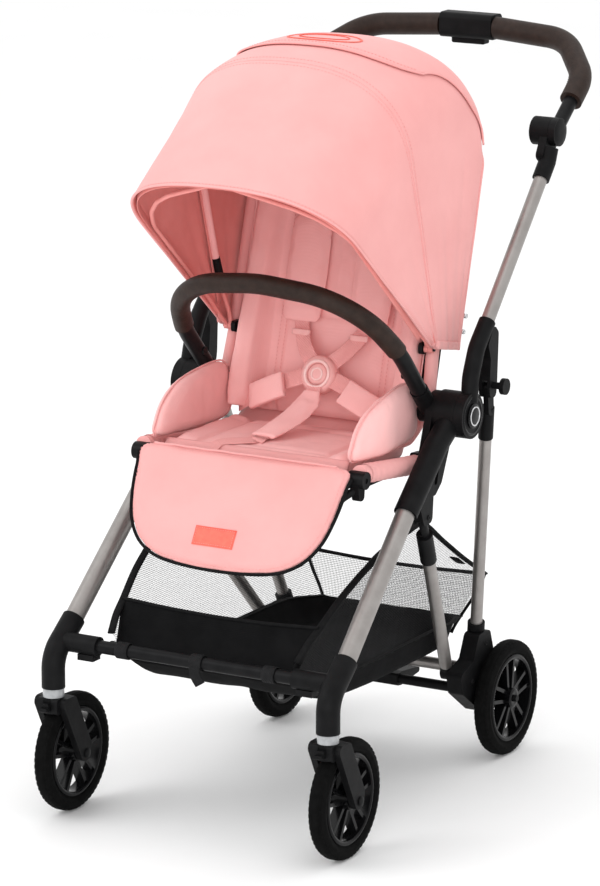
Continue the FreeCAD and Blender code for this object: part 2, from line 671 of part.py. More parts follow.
def seat_wing():
    """Side bolster: a wide front part and a thinner part that passes inside the hub."""
    front = [(124, 534), (131, 556), (150, 578), (185, 597), (230, 606), (252, 606), (252, 532), (180, 530)]
    rear = [(200, 530), (200, 598), (230, 609), (285, 614), (322, 604), (334, 570), (334, 530), (250, 524)]
    return side_plate(front, 150.5, 170, 8).fuse(side_plate(rear, 150.5, 159.5, 8))


def facing(shape):
    """Turns a shape made flat about the buckle's centre so that it faces forward and up."""
    shape.rotate(vec((0, BUCKLE_Y, BUCKLE_Z)), vec((1, 0, 0)), -BUCKLE_TILT)
    return shape


def buckle():
    body = Part.makeCylinder(BUCKLE_RADIUS, 18, vec((0, BUCKLE_Y - 9, BUCKLE_Z)), vec((0, 1, 0)))
    room = Part.makeCylinder(16.3, 8, vec((0, BUCKLE_Y - 10, BUCKLE_Z)), vec((0, 1, 0)))
    return facing(body.cut(room))


def buckle_button():
    shape = Part.makeCylinder(16, 5.5, vec((0, BUCKLE_Y - 10.5, BUCKLE_Z)), vec((0, 1, 0)))
    return facing(shape)


def crotch_pad():
    outline = [(262, 540), (256, 548), (302, 590), (309, 582)]
    return side_plate(outline, -24, 24, 3)


# ---------------------------------------------------------------- backrest

def back_frame_path():
    points = [(170, 14), (165, 90), (163, 330), (120, 412), (0, 418)]
    return mirrored_path([(x, *on_back(t, 0)) for x, t in points])


def backrest_frame():
    arch = rod(back_frame_path(), BACK_TUBE_RADIUS, 60)
    eyes = []
    for side in (-1, 1):
        x0, x1 = sorted((side * 161, side * 180.4))
        eyes.append(pin(x0, x1, HUB_Y, HUB_Z, 17))
        eyes.append(canopy_clip(side))
    body = fused(arch, *eyes)
    return body.cut(pin(-185, 185, HUB_Y, HUB_Z, 6 + RUNNING_GAP))


def canopy_clip(side):
    """Clip on the backrest tube with the pin that the canopy's bows turn on."""
    outline = [(CANOPY_Y - 8, CANOPY_Z - 8), (CANOPY_Y + 15, CANOPY_Z - 8),
               (CANOPY_Y + 17, CANOPY_Z + 8), (CANOPY_Y - 8, CANOPY_Z + 8)]
    x0, x1 = sorted((side * 153, side * 159.5))
    plate = side_plate(outline, x0, x1, 5)
    p0, p1 = sorted((side * 153, side * 176))
    return plate.fuse(pin(p0, p1, CANOPY_Y, CANOPY_Z, CLIP_PIN_RADIUS))


def backrest_board():
    """Moulded back shell with side flanges that sit against the tube frame."""
    back = side_plate([on_back(-6, 42), on_back(388, 42), on_back(388, 46), on_back(-6, 46)],
                      -155, 155, 1)
    flanges = []
    for x0 in (-155, 151):
        outline = [on_back(24, 4), on_back(383, 4), on_back(383, 44), on_back(24, 44)]
        flanges.append(side_plate(outline, x0, x0 + 4, 3))
    body = fused(back, *flanges)
    return body.cut(rod(back_frame_path(), BACK_TUBE_RADIUS, 60))


def backrest_pad():
    """Cushion with a bolster down each side that comes forward round the child."""
    outline = [on_back(-28, 8), on_back(376, 8), on_back(384, 18), on_back(380, 41), on_back(-24, 41)]
    body = side_plate(outline, -PAD_HALF_WIDTH, PAD_HALF_WIDTH, 8)
    bolster = [on_back(-22, 20), on_back(-12, -26), on_back(20, -34), on_back(180, -22), on_back(330, -4),
               on_back(340, 20)]
    for side in (-1, 1):
        x0, x1 = sorted((side * BOLSTER_INNER_X, side * PAD_HALF_WIDTH))
        body = body.fuse(side_plate(bolster, x0, x1, 10))
    return body


def shoulder_pad():
    outline = [on_back(105, -7), on_back(264, -7), on_back(264, 7), on_back(105, 7)]
    return side_plate(outline, 20, 92, 5)


def shoulder_strap():
    outline = [on_back(52, -14), on_back(103, -3), on_back(103, 0), on_back(52, -11)]
    return side_plate(outline, 40, 64, 1)


def recline_lever():
    outline = [on_back(300, 49), on_back(322, 49), on_back(322, 61), on_back(300, 61)]
    return side_plate(outline, -34, 34, 4)


def recline_guide():
    """Rails on the back shell that the recline lever slides in."""
    rails = []
    for x0 in (-42, 35):
        outline = [on_back(292, 45), on_back(345, 45), on_back(345, 61), on_back(292, 61)]
        rails.append(side_plate(outline, x0, x0 + 7, 3))
    return rails


# ---------------------------------------------------------------- canopy

def arch_points(arch, inset=0.0):
    """Smooth part of an arch, from one straight side over the top to the other."""
    y0, z0, slope, reach, half, corner = arch
    half -= inset
    reach -= inset
    shoulder = corner * 0.40

    def at(x, s):
        dy, dz = along(slope, s)
        return vec((x, y0 + dy, z0 + dz))

    left = [at(-half, reach - corner), at(-half + shoulder, reach - shoulder),
            at(-half + corner * 1.1, reach - 6)]
    right = [FreeCAD.Vector(-p.x, p.y, p.z) for p in reversed(left)]
    return left + [at(0, reach)] + right


def arch_wire(arch, base, inset=0.0):
    """Closed arch: two straight sides, the curve over the top, and a line across the base."""
    y0, z0, slope, reach, half, corner = arch
    dy, dz = along(slope, base)
    half -= inset
    points = arch_points(arch, inset)
    low = vec((-half, y0 + dy, z0 + dz))
    high = vec((half, y0 + dy, z0 + dz))
    curve = Part.BSplineCurve()
    curve.interpolate(points)
    return Part.Wire([Part.makeLine(low, points[0]), curve.toShape(),
                      Part.makeLine(points[-1], high), Part.makeLine(high, low)])


def canopy_fabric():
    """Fabric shell, open in front, below and behind."""
    outer = Part.makeLoft([arch_wire(arch, 40) for arch in CANOPY_ARCHES], True, False)
    inner_arches = [list(arch) for arch in CANOPY_ARCHES]
    inner_arches[0][2] -= 2.0
    inner_arches[-1][0] += 8.0
    wires = [arch_wire(arch, 30, CANOPY_SKIN) for arch in inner_arches]
    return outer.cut(Part.makeLoft(wires, True, False))


def bow(arch, turn, foot_x):
    """Bow of the canopy: a sprung rod just inside the fabric, with an eye at each foot."""
    y0, z0, slope, reach, half, corner = arch
    inset = CANOPY_SKIN + BOW_RADIUS + 3.0
    width = half - inset
    top = arch_points((y0, z0, slope + turn, reach, half, corner), inset)
    curve = Part.BSplineCurve()
    curve.interpolate(top)
    first, span = curve.FirstParameter, curve.LastParameter - curve.FirstParameter
    over = [tuple(curve.value(first + span * k / BOW_STEPS)) for k in range(BOW_STEPS + 1)]
    left = []
    for x, s in ((-foot_x, 4.3), (-foot_x, 24), (-width, 75)):
        dy, dz = along(slope + turn, s)
        left.append((x, y0 + dy, z0 + dz))
    right = [(-x, y, z) for x, y, z in reversed(left)]
    body = rod(left + over + right, BOW_RADIUS, 60)
    for side in (-1, 1):
        x0, x1 = sorted((side * (foot_x - 3.2), side * (foot_x + 3.2)))
        eye = pin(x0, x1, CANOPY_Y, CANOPY_Z, BOW_EYE_RADIUS)
        hole = pin(x0 - 1, x1 + 1, CANOPY_Y, CANOPY_Z, CLIP_PIN_RADIUS + RUNNING_GAP)
        body = body.fuse(eye).cut(hole)
    return body


# ---------------------------------------------------------------- footrest

def on_footrest(d, offset):
    """Point (y, z): d down the footrest from its top edge, offset behind its front face."""
    lean = math.radians(FOOTREST_LEAN)
    y = FOOTREST_TOP[0] - d * math.sin(lean) + offset * math.cos(lean)
    z = FOOTREST_TOP[1] - d * math.cos(lean) - offset * math.sin(lean)
    return (y, z)


def footrest_panel():
    """Flat board with large lower corners, covered in fabric."""
    outline = [(-170, 0), (170, 0), (160, 80), (140, 138), (80, 176), (-80, 176), (-140, 138),
               (-160, 80)]
    corners = [(x, *on_footrest(d, 0)) for x, d in outline]
    lean = math.radians(FOOTREST_LEAN)
    face = Part.Face(rounded_wire(corners, 60, closed=True))
    return face.extrude(vec((0, 12 * math.cos(lean), -12 * math.sin(lean))))


def footrest_frame():
    """Tube loop behind the footrest panel, with the knuckles of its two hinges."""
    half = [(176, FOOTREST_Y, FOOTREST_Z - 12)]
    half += [(x, *on_footrest(d, 18.5)) for x, d in ((158, 44), (136, 112), (88, 152), (0, 152))]
    parts = [rod(mirrored_path(half), 5.5, 40)]
    for side in (-1, 1):
        x0, x1 = sorted((side * 164, side * 190))
        parts.append(pin(x0, x1, FOOTREST_Y, FOOTREST_Z, KNUCKLE_RADIUS))
        hook = [(FOOTREST_Y - 11, FOOTREST_Z), (FOOTREST_Y + 11, FOOTREST_Z),
                (FOOTREST_Y + 8, FOOTREST_Z - 30), (FOOTREST_Y - 6, FOOTREST_Z - 30)]
        p0, p1 = sorted((side * 170, side * 182))
        parts.append(side_plate(hook, p0, p1, 6))
    whole = fused(*parts)
    for side in (-1, 1):
        x0, x1 = sorted((side * 150, side * 200))
        whole = whole.cut(pin(x0, x1, FOOTREST_Y, FOOTREST_Z, 4 + RUNNING_GAP))
    return whole


# ---------------------------------------------------------------- bumper bar

def bumper_point(x, s):
    dy, dz = along(BUMPER_SLOPE, s)
    return (x, BUMPER_Y + dy, BUMPER_Z + dz)


def bumper_rod(radius):
    """Round bar along the bumper bar, from one socket round the front to the other."""
    side = BUMPER_HALF_WIDTH
    half = [bumper_point(side, 27), bumper_point(side + 1, 112), bumper_point(side - 19, 186),
            bumper_point(102, 235), bumper_point(0, BUMPER_REACH)]
    return rod(mirrored_path(half), radius, 160)


def bumper_tube():
    parts = [bumper_rod(12.0)]
    for side in (-BUMPER_HALF_WIDTH, BUMPER_HALF_WIDTH):
        parts.append(rod([bumper_point(side, 2), bumper_point(side, 28)], 9, 1))
    whole = fused(*parts)
    for sign in (-1, 1):
        x0, x1 = sorted((sign * (BUMPER_HALF_WIDTH - 14), sign * (BUMPER_HALF_WIDTH - 7)))
        _, y, z = bumper_point(0, 60)
        whole = whole.cut(pin(x0, x1, y, z, 6.3))
    return whole


def bumper_leather():
    sleeve = bumper_rod(14.5).cut(bumper_rod(12.0))
    below = Part.makeBox(600, 300, 160, vec(bumper_point(-300, 120)) - vec((0, 0, 80)))
    below.rotate(vec(bumper_point(0, 120)), vec((1, 0, 0)), -BUMPER_SLOPE)
    return sleeve.cut(below)


def bumper_button(sign):
    _, y, z = bumper_point(0, 60)
    x0, x1 = sorted((sign * (BUMPER_HALF_WIDTH - 13.5), sign * (BUMPER_HALF_WIDTH - 9.5)))
    return pin(x0, x1, y, z, 6)


def build():
    os.makedirs("parts", exist_ok=True)
    for side, sign in (("left", 1), ("right", -1)):
        front_x = sign * FRONT_WHEEL_X
        rear_x = sign * REAR_WHEEL_X
        write(tyre(front_x, 0), side + "_front_tyre")
        write(rim(front_x, 0), side + "_front_rim")
        write(tyre(rear_x, REAR_AXLE_Y), side + "_rear_tyre")
        write(rim(rear_x, REAR_AXLE_Y), side + "_rear_rim")
        write(fork(front_x), side + "_caster_fork")
        write(swivel_lock(front_x), side + "_swivel_lock")
        write(bumper_button(sign), side + "_bumper_button")
        button = tilt_button()
        if sign < 0:
            button = button.mirror(vec((0, 0, 0)), vec((1, 0, 0)))
        write(button, side + "_tilt_button")

    write(both_sides(caster_ring()), "caster_rings")
    write(both_sides(leg_socket()), "leg_sockets")
    write(both_sides(front_leg_tube()), "front_leg_tubes")
    write(both_sides(leg_sleeve()), "leg_sleeves")
    write(both_sides(hub_housing()), "hub_housings")
    write(front_cross_tube(), "front_cross_tube")
    write(basket(), "basket")

    write(both_sides(rear_leg_tube()), "rear_leg_tubes")
    write(both_sides(rear_leg_top()), "rear_leg_tops")
    write(both_sides(rear_bracket()), "rear_brackets")
    write(rear_cross_bar(), "rear_cross_bar")
    write(brake_bar(), "brake_bar")
    write(both_sides(link_tube()), "link_tubes")
    write(both_sides(Part.makeCompound(link_fitting())), "link_fittings")

    write(both_sides(handle_tube()), "handle_tubes")
    write(both_sides(elbow()), "handle_elbows")
    write(both_sides(rear_pivot_pin()), "rear_pivot_pins")
    write(both_sides(hub_cap()), "hub_caps")
    write(both_sides(tilt_base()), "tilt_bases")
    write(handlebar_tube(), "handlebar_tube")
    write(handlebar_leather(), "handlebar_leather")
    write(handlebar_housing(), "handlebar_housing")
    write(fold_trigger(), "fold_trigger")

    write(both_sides(seat_side_tube()), "seat_side_tubes")
    write(both_sides(seat_adapter()), "seat_adapters")
    write(seat_pan(), "seat_pan")
    write(seat_pad(), "seat_pad")
    write(both_sides(seat_wing()), "seat_wings")
    write(buckle(), "harness_buckle")
    write(buckle_button(), "buckle_button")
    write(crotch_pad(), "crotch_pad")

    write(backrest_frame(), "backrest_frame")
    write(fused(backrest_board(), *recline_guide()), "backrest_board")
    write(backrest_pad(), "backrest_pad")
    write(both_sides(shoulder_pad()), "shoulder_pads")
    write(both_sides(shoulder_strap()), "shoulder_straps")
    write(recline_lever(), "recline_lever")
    write(canopy_fabric(), "canopy_fabric")
    write(bow(CANOPY_ARCHES[0], 1.5, FRONT_BOW_X), "canopy_front_bow")
    write(bow(CANOPY_ARCHES[2], 0.0, MIDDLE_BOW_X), "canopy_middle_bow")

    write(footrest_panel(), "footrest_panel")
    write(footrest_frame(), "footrest_frame")
    write(bumper_tube(), "bumper_tube")
    write(bumper_leather(), "bumper_leather")


build()
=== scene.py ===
import bisect
import bmesh
import bpy
import json
import math
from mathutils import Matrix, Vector, noise


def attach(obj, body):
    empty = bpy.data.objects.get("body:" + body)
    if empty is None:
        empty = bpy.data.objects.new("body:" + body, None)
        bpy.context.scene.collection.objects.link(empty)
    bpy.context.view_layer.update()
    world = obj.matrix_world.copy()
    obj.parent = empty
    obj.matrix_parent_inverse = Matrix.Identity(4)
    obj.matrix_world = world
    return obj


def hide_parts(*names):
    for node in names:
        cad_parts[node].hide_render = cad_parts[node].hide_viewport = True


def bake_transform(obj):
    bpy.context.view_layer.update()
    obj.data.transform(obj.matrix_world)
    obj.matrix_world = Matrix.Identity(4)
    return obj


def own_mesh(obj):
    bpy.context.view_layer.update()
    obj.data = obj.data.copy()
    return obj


# Baby stroller. Helper functions take millimetres with Y measured from the front wheel axle;
# at() turns them into the frame's metres.

ORIGIN_Y = 359.79
BACK_LEAN = math.radians(15.3)
# Places in side view, as (y, z): fold hub, canopy clip, handlebar joint, front cross tube.
HUB = (341.0, 567.0)
CANOPY_CLIP = (350.0, 655.0)
TILT_JOINT = (611.0, 938.0)
CROSS_TUBE = (-26.0, 258.0)
AXLE_HEIGHT = 87.0
FRONT_WHEEL_X = 225.0
FOOT_LEAN = math.radians(30.8)
FOOT_TOP = (110.0, 531.0)
SIDES = (("right", -1), ("left", 1))
CLOTH_FRAMES = 20
DEEPEST_DENT = 0.0004

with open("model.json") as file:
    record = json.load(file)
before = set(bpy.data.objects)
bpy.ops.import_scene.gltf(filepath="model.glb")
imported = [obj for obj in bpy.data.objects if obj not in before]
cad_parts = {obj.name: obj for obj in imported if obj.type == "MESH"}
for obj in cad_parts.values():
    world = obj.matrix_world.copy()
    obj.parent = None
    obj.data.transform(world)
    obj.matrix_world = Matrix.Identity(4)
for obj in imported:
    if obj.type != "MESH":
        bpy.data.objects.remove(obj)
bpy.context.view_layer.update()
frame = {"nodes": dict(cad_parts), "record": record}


def at(x, y, z):
    return Vector((x / 1000, (y - ORIGIN_Y) / 1000, z / 1000))


def on_back(x, t, offset):
    """Place on the backrest: t up its slope from the hub axis, offset behind its tube line."""
    y = HUB[0] + t * math.sin(BACK_LEAN) + offset * math.cos(BACK_LEAN)
    z = HUB[1] + t * math.cos(BACK_LEAN) - offset * math.sin(BACK_LEAN)
    return at(x, y, z)


def on_foot(x, d, offset):
    """Place on the footrest: d down from its top edge, offset behind its front face."""
    y = FOOT_TOP[0] - d * math.sin(FOOT_LEAN) + offset * math.cos(FOOT_LEAN)
    z = FOOT_TOP[1] - d * math.cos(FOOT_LEAN) - offset * math.sin(FOOT_LEAN)
    return at(x, y, z)


# ---------------------------------------------------------------- materials

def math_node(tree, operation, a, b):
    node = tree.nodes.new("ShaderNodeMath")
    node.operation = operation
    for socket, value in zip(node.inputs, (a, b)):
        if isinstance(value, (int, float)):
            socket.default_value = value
        else:
            tree.links.new(value, socket)
    return node.outputs[0]


def noise_at(tree, place, scale, detail=3.0, rough=0.55):
    node = tree.nodes.new("ShaderNodeTexNoise")
    node.inputs["Scale"].default_value = scale
    node.inputs["Detail"].default_value = detail
    node.inputs["Roughness"].default_value = rough
    tree.links.new(place, node.inputs["Vector"])
    return node.outputs["Fac"]


def ribs(tree, place, direction, pitch):
    """Wave texture whose crests stand a pitch (m) apart along a direction."""
    node = tree.nodes.new("ShaderNodeTexWave")
    node.bands_direction = direction
    node.inputs["Scale"].default_value = 2 * math.pi / (20 * pitch)
    tree.links.new(place, node.inputs["Vector"])
    return node


def threads(tree, place, pitch):
    """Ribs along each axis, joined into a plain weave's relief."""
    out = None
    for direction in ("X", "Y", "Z"):
        node = ribs(tree, place, direction, pitch)
        node.inputs["Distortion"].default_value = 0.4
        node.inputs["Detail"].default_value = 1.0
        out = node.outputs["Fac"] if out is None else math_node(tree, "ADD", out, node.outputs["Fac"])
    return math_node(tree, "MULTIPLY", out, 1 / 3)


def relief_height(tree, place, kind, size):
    """Height of one kind of surface relief, whose features are a size (m) apart."""
    if kind == "weave":
        return threads(tree, place, size)
    if kind == "rib":
        return ribs(tree, place, "DIAGONAL", size).outputs["Fac"]
    if kind == "leather":
        cells = tree.nodes.new("ShaderNodeTexVoronoi")
        cells.feature = "DISTANCE_TO_EDGE"
        cells.inputs["Scale"].default_value = 1 / size
        tree.links.new(place, cells.inputs["Vector"])
        return cells.outputs["Distance"]
    return noise_at(tree, place, 1 / size, 3.0)


def material(name, dark, light, rough=0.5, metallic=0.0, sheen=0.0, coat=0.0, spots=60.0,
             relief=(), wear=0.06, holes=None, specular=0.5):
    """Principled material: colour drifts between two tints, roughness varies, bump from relief.

    relief is a list of (kind, size, strength); kind is weave, grain, leather or rib. holes is
    (direction, pitch, share) and leaves a net of cords with gaps between them.
    """
    mat = bpy.data.materials.new(name)
    mat.use_nodes = True
    tree = mat.node_tree
    shader = tree.nodes["Principled BSDF"]
    place = tree.nodes.new("ShaderNodeTexCoord").outputs["Object"]
    blotch = noise_at(tree, place, spots, 4.0)
    ramp = tree.nodes.new("ShaderNodeValToRGB")
    ramp.color_ramp.elements[0].position = 0.32
    ramp.color_ramp.elements[1].position = 0.68
    ramp.color_ramp.elements[0].color = (*dark, 1)
    ramp.color_ramp.elements[1].color = (*light, 1)
    tree.links.new(blotch, ramp.inputs["Fac"])
    tree.links.new(ramp.outputs["Color"], shader.inputs["Base Color"])
    rough_noise = noise_at(tree, place, spots * 3, 2.0)
    spread = math_node(tree, "MULTIPLY", rough_noise, 2 * wear)
    tree.links.new(math_node(tree, "ADD", spread, rough - wear), shader.inputs["Roughness"])
    shader.inputs["Metallic"].default_value = metallic
    shader.inputs["Specular IOR Level"].default_value = specular
    if sheen:
        shader.inputs["Sheen Weight"].default_value = sheen
        shader.inputs["Sheen Roughness"].default_value = 0.5
    if coat:
        shader.inputs["Coat Weight"].default_value = coat
        shader.inputs["Coat Roughness"].default_value = 0.08
    previous = None
    for kind, size, strength in relief:
        height = relief_height(tree, place, kind, size)
        bump = tree.nodes.new("ShaderNodeBump")
        bump.inputs["Strength"].default_value = strength
        bump.inputs["Distance"].default_value = min(size, 0.002) * 0.35
        tree.links.new(height, bump.inputs["Height"])
        if previous is not None:
            tree.links.new(previous, bump.inputs["Normal"])
        previous = bump.outputs["Normal"]
    if previous is not None:
        tree.links.new(previous, shader.inputs["Normal"])
    if holes:
        along, pitch, share = holes
        cords = []
        for direction in (along, "Z"):
            wave = ribs(tree, place, direction, pitch)
            cords.append(math_node(tree, "GREATER_THAN", wave.outputs["Fac"], share))
        tree.links.new(math_node(tree, "MAXIMUM", *cords), shader.inputs["Alpha"])
    return mat


PINK = material("pink_canvas", (0.79, 0.362, 0.35), (0.84, 0.405, 0.392), 0.84, sheen=0.12, spots=9,
                relief=[("grain", 0.02, 0.10), ("weave", 0.0011, 0.35)], specular=0.2)
PINK_PAD = material("pink_padding", (0.92, 0.475, 0.46), (0.96, 0.525, 0.51), 0.86, sheen=0.15, spots=14,
                    relief=[("grain", 0.012, 0.14), ("weave", 0.0014, 0.4)], specular=0.2)
# Darker, more saturated copy of the pink canvas: painted shade for the canopy's inside, its bows and pockets,
# and the backrest's strip and strap slots.
PINK_PAINTED_SHADE = material("pink_painted_shade", (0.76, 0.262, 0.238), (0.83, 0.315, 0.29), 0.88, sheen=0.1, spots=14,
                       relief=[("weave", 0.0012, 0.35)], specular=0.15)
PINK_THREAD = material("pink_thread", (0.78, 0.31, 0.30), (0.85, 0.37, 0.355), 0.8, spots=400,
                       relief=[("grain", 0.0006, 0.4)])
PINK_WEBBING = material("pink_webbing", (0.83, 0.36, 0.345), (0.90, 0.42, 0.405), 0.78, sheen=0.1, spots=60,
                        relief=[("rib", 0.0022, 0.7), ("weave", 0.001, 0.3)])
PINK_MOULDING = material("pink_moulding", (0.84, 0.42, 0.40), (0.88, 0.47, 0.45), 0.42, spots=90,
                         relief=[("grain", 0.0008, 0.12)])
PINK_SATIN = material("pink_satin_ring", (0.90, 0.58, 0.55), (0.94, 0.64, 0.61), 0.3, coat=0.3, spots=90,
                      relief=[("grain", 0.0008, 0.08)])
CORAL = material("coral_patch", (0.93, 0.125, 0.085), (0.97, 0.16, 0.11), 0.6, spots=150,
                 relief=[("weave", 0.0009, 0.3)])
BLACK_CLOTH = material("black_cloth", (0.0022, 0.0022, 0.0025), (0.0048, 0.0048, 0.0052), 0.9, spots=30,
                       relief=[("grain", 0.015, 0.2), ("weave", 0.0012, 0.4)], specular=0.12)
BLACK_BINDING = material("black_binding", (0.0030, 0.0030, 0.0034), (0.0062, 0.0062, 0.0066), 0.8, spots=120,
                         relief=[("weave", 0.0009, 0.6)], specular=0.15)
BLACK_MESH = material("black_mesh", (0.006, 0.006, 0.007), (0.011, 0.011, 0.012), 0.7, spots=60,
                      relief=[("weave", 0.003, 0.3)], holes=("Y", 0.0026, 0.90), specular=0.2)
BACK_MESH = material("black_mesh_across", (0.006, 0.006, 0.007), (0.011, 0.011, 0.012), 0.7, spots=60,
                     relief=[("weave", 0.003, 0.3)], holes=("X", 0.0026, 0.90), specular=0.2)
WEBBING = material("black_webbing", (0.004, 0.004, 0.0045), (0.010, 0.010, 0.011), 0.75, spots=90,
                   relief=[("rib", 0.002, 0.7), ("weave", 0.001, 0.4)], specular=0.2)
PLASTIC = material("black_plastic", (0.0036, 0.0036, 0.004), (0.007, 0.007, 0.0075), 0.5, spots=50,
                   relief=[("grain", 0.0006, 0.22)], wear=0.07, specular=0.10)
GLOSS = material("gloss_black", (0.0022, 0.0022, 0.0026), (0.004, 0.004, 0.0045), 0.22, coat=0.05, spots=60,
                 relief=[("grain", 0.0012, 0.05)], wear=0.05, specular=0.12)
RUBBER = material("tyre_rubber", (0.0018, 0.0018, 0.0018), (0.0042, 0.0042, 0.0042), 0.8, spots=120,
                  relief=[("grain", 0.0011, 0.5), ("grain", 0.006, 0.15)], wear=0.1, specular=0.06)
GREY_METAL = material("grey_coated_tube", (0.30, 0.28, 0.268), (0.35, 0.33, 0.317), 0.38, metallic=0.8,
                      spots=40, relief=[("grain", 0.0005, 0.12)], wear=0.06)
BLACK_METAL = material("black_coated_tube", (0.006, 0.006, 0.0066), (0.010, 0.010, 0.0106), 0.4,
                       metallic=0.2, spots=50, relief=[("grain", 0.0005, 0.12)], specular=0.10)
STEEL = material("bright_steel", (0.55, 0.55, 0.56), (0.66, 0.66, 0.67), 0.24, metallic=1.0, spots=200,
                 relief=[("grain", 0.0004, 0.1)])
LEATHER = material("brown_leather", (0.017, 0.0088, 0.0062), (0.029, 0.0160, 0.0115), 0.52, spots=70,
                   relief=[("leather", 0.0019, 0.5), ("grain", 0.0005, 0.25)], wear=0.09, specular=0.20)
LEATHER_THREAD = material("brown_thread", (0.045, 0.03, 0.024), (0.07, 0.047, 0.037), 0.7, spots=300,
                          relief=[("grain", 0.0005, 0.4)])
# Opaque light grey on the clear caster rings: painted reflection.
CLEAR_RING_PAINTED_REFLECTION = material("clear_ring_painted_reflection", (0.30, 0.31, 0.32), (0.40, 0.41, 0.42), 0.25, coat=0.4, spots=120,
                      relief=[("grain", 0.001, 0.1)])
PALE = material("pale_floor", (0.93, 0.93, 0.93), (0.95, 0.95, 0.95), 0.7, spots=3,
                relief=[("grain", 0.004, 0.02)], specular=0.1)

SLOT_MATERIAL = {
    "tyre": RUBBER, "gloss_black": GLOSS, "black_plastic": PLASTIC, "grey_tube": GREY_METAL,
    "black_tube": BLACK_METAL, "steel": STEEL, "leather": LEATHER, "pink_fabric": PINK,
    "black_mesh": BLACK_CLOTH, "pink_plastic": PINK_MOULDING, "webbing": WEBBING,
}
# Nodes that take another material than their slot's; the canopy bows take the darker pink of painted shade.
NODE_MATERIAL = {"caster_rings": CLEAR_RING_PAINTED_REFLECTION, "front_cross_tube": BLACK_METAL, "canopy_front_bow": PINK_PAINTED_SHADE,
                 "canopy_middle_bow": PINK_PAINTED_SHADE}
for part in frame["record"]["subparts"]:
    node = frame["nodes"][part["node"]]
    node.data.materials.clear()
    node.data.materials.append(NODE_MATERIAL.get(part["node"], SLOT_MATERIAL[part["material_slot"]]))


# ---------------------------------------------------------------- mesh helpers

def turns(count):
    """Angles of evenly spaced points round a circle."""
    return [2 * math.pi * k / count for k in range(count)]


def distances(line):
    """Each point's distance along a line of points."""
    travel = [0.0]
    for a, b in zip(line, line[1:]):
        travel.append(travel[-1] + (b - a).length)
    return travel


def length_of(line):
    return distances(line)[-1]


def point_along(line, travel, distance):
    i = min(max(bisect.bisect_right(travel, distance) - 1, 0), len(travel) - 2)
    f = (distance - travel[i]) / max(travel[i + 1] - travel[i], 1e-9)
    return line[i].lerp(line[i + 1], min(max(f, 0.0), 1.0))


def thicken(piece, thickness, offset=-1):
    """Gives a surface its cloth thickness, in metres."""
    shell = piece.modifiers.new("Thickness", "SOLIDIFY")
    shell.thickness = thickness
    shell.offset = offset
    return shell


def mesh_piece(name, points, faces, mat, smooth=True):
    mesh = bpy.data.meshes.new(name)
    mesh.from_pydata([tuple(p) for p in points], [], faces)
    mesh.materials.append(mat)
    mesh.validate()
    for polygon in mesh.polygons:
        polygon.use_smooth = smooth
    piece = bpy.data.objects.new(name, mesh)
    bpy.context.scene.collection.objects.link(piece)
    return piece


def grid_piece(name, rows, mat, wrap=False, caps=False):
    """Surface through rows of points. wrap joins each row's end to its start."""
    points = [p for row in rows for p in row]
    across = len(rows[0])
    faces = []
    for i in range(len(rows) - 1):
        for j in range(across if wrap else across - 1):
            k = (j + 1) % across
            a = i * across
            faces.append((a + j, a + k, a + across + k, a + across + j))
    if caps:
        faces.append(tuple(reversed(range(across))))
        last = (len(rows) - 1) * across
        faces.append(tuple(range(last, last + across)))
    return mesh_piece(name, points, faces, mat)


def recalc(piece):
    bm = bmesh.new()
    bm.from_mesh(piece.data)
    bmesh.ops.recalc_face_normals(bm, faces=bm.faces)
    bm.to_mesh(piece.data)
    bm.free()
    return piece


def smooth_line(points, spacing=0.004, closed=False):
    """Points along a smooth curve through the given ones, about evenly spaced."""
    count = len(points)
    out = []
    for i in range(count if closed else count - 1):
        if closed:
            p0, p1, p2, p3 = (points[(i + k) % count] for k in (-1, 0, 1, 2))
        else:
            p1, p2 = points[i], points[i + 1]
            p0 = points[i - 1] if i else p1 * 2 - p2
            p3 = points[i + 2] if i + 2 < count else p2 * 2 - p1
        steps = max(2, int((p2 - p1).length / spacing))
        for k in range(steps):
            t = k / steps
            out.append(0.5 * ((2 * p1) + (p2 - p0) * t + (2 * p0 - 5 * p1 + 4 * p2 - p3) * t * t
                              + (3 * p1 - p0 - 3 * p2 + p3) * t ** 3))
    if not closed:
        out.append(points[-1].copy())
    return out


def sweep(name, line, section, mat, facing=None, closed=False, caps=True):
    """Sweeps a closed section of (across, out) offsets along a line.

    facing is the direction that 'out' turns towards; without it the section just follows the line.
    """
    rows = []
    count = len(line)
    side = None
    for i, p in enumerate(line):
        if closed:
            ahead, behind = line[(i + 1) % count], line[i - 1]
        else:
            ahead, behind = line[min(i + 1, count - 1)], line[max(i - 1, 0)]
        way = (ahead - behind).normalized()
        if facing is not None:
            face = facing(p) if callable(facing) else facing
            across = way.cross(face).normalized()
        elif side is None:
            across = way.orthogonal().normalized()
        else:
            across = (side - way * side.dot(way)).normalized()
        side = across
        out = across.cross(way).normalized()
        rows.append([p + across * a / 1000 + out * b / 1000 for a, b in section])
    if closed:
        rows.append([q.copy() for q in rows[0]])
    return recalc(grid_piece(name, rows, mat, wrap=True, caps=caps and not closed))


def disc(name, centre, way, profile, mat, body, count=40, right=None):
    """Turned piece: profile of (radius, height) about the given axis, in millimetres."""
    way = Vector(way).normalized()
    right = right or way.orthogonal().normalized()
    up = way.cross(right)
    rings = [[centre + way * out / 1000 + (right * math.cos(a) + up * math.sin(a)) * radius / 1000
              for a in turns(count)] for radius, out in profile]
    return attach(recalc(grid_piece(name, rings, mat, wrap=True)), body)


def round_section(radius, count=14):
    return [(radius * math.cos(a), radius * math.sin(a)) for a in turns(count)]


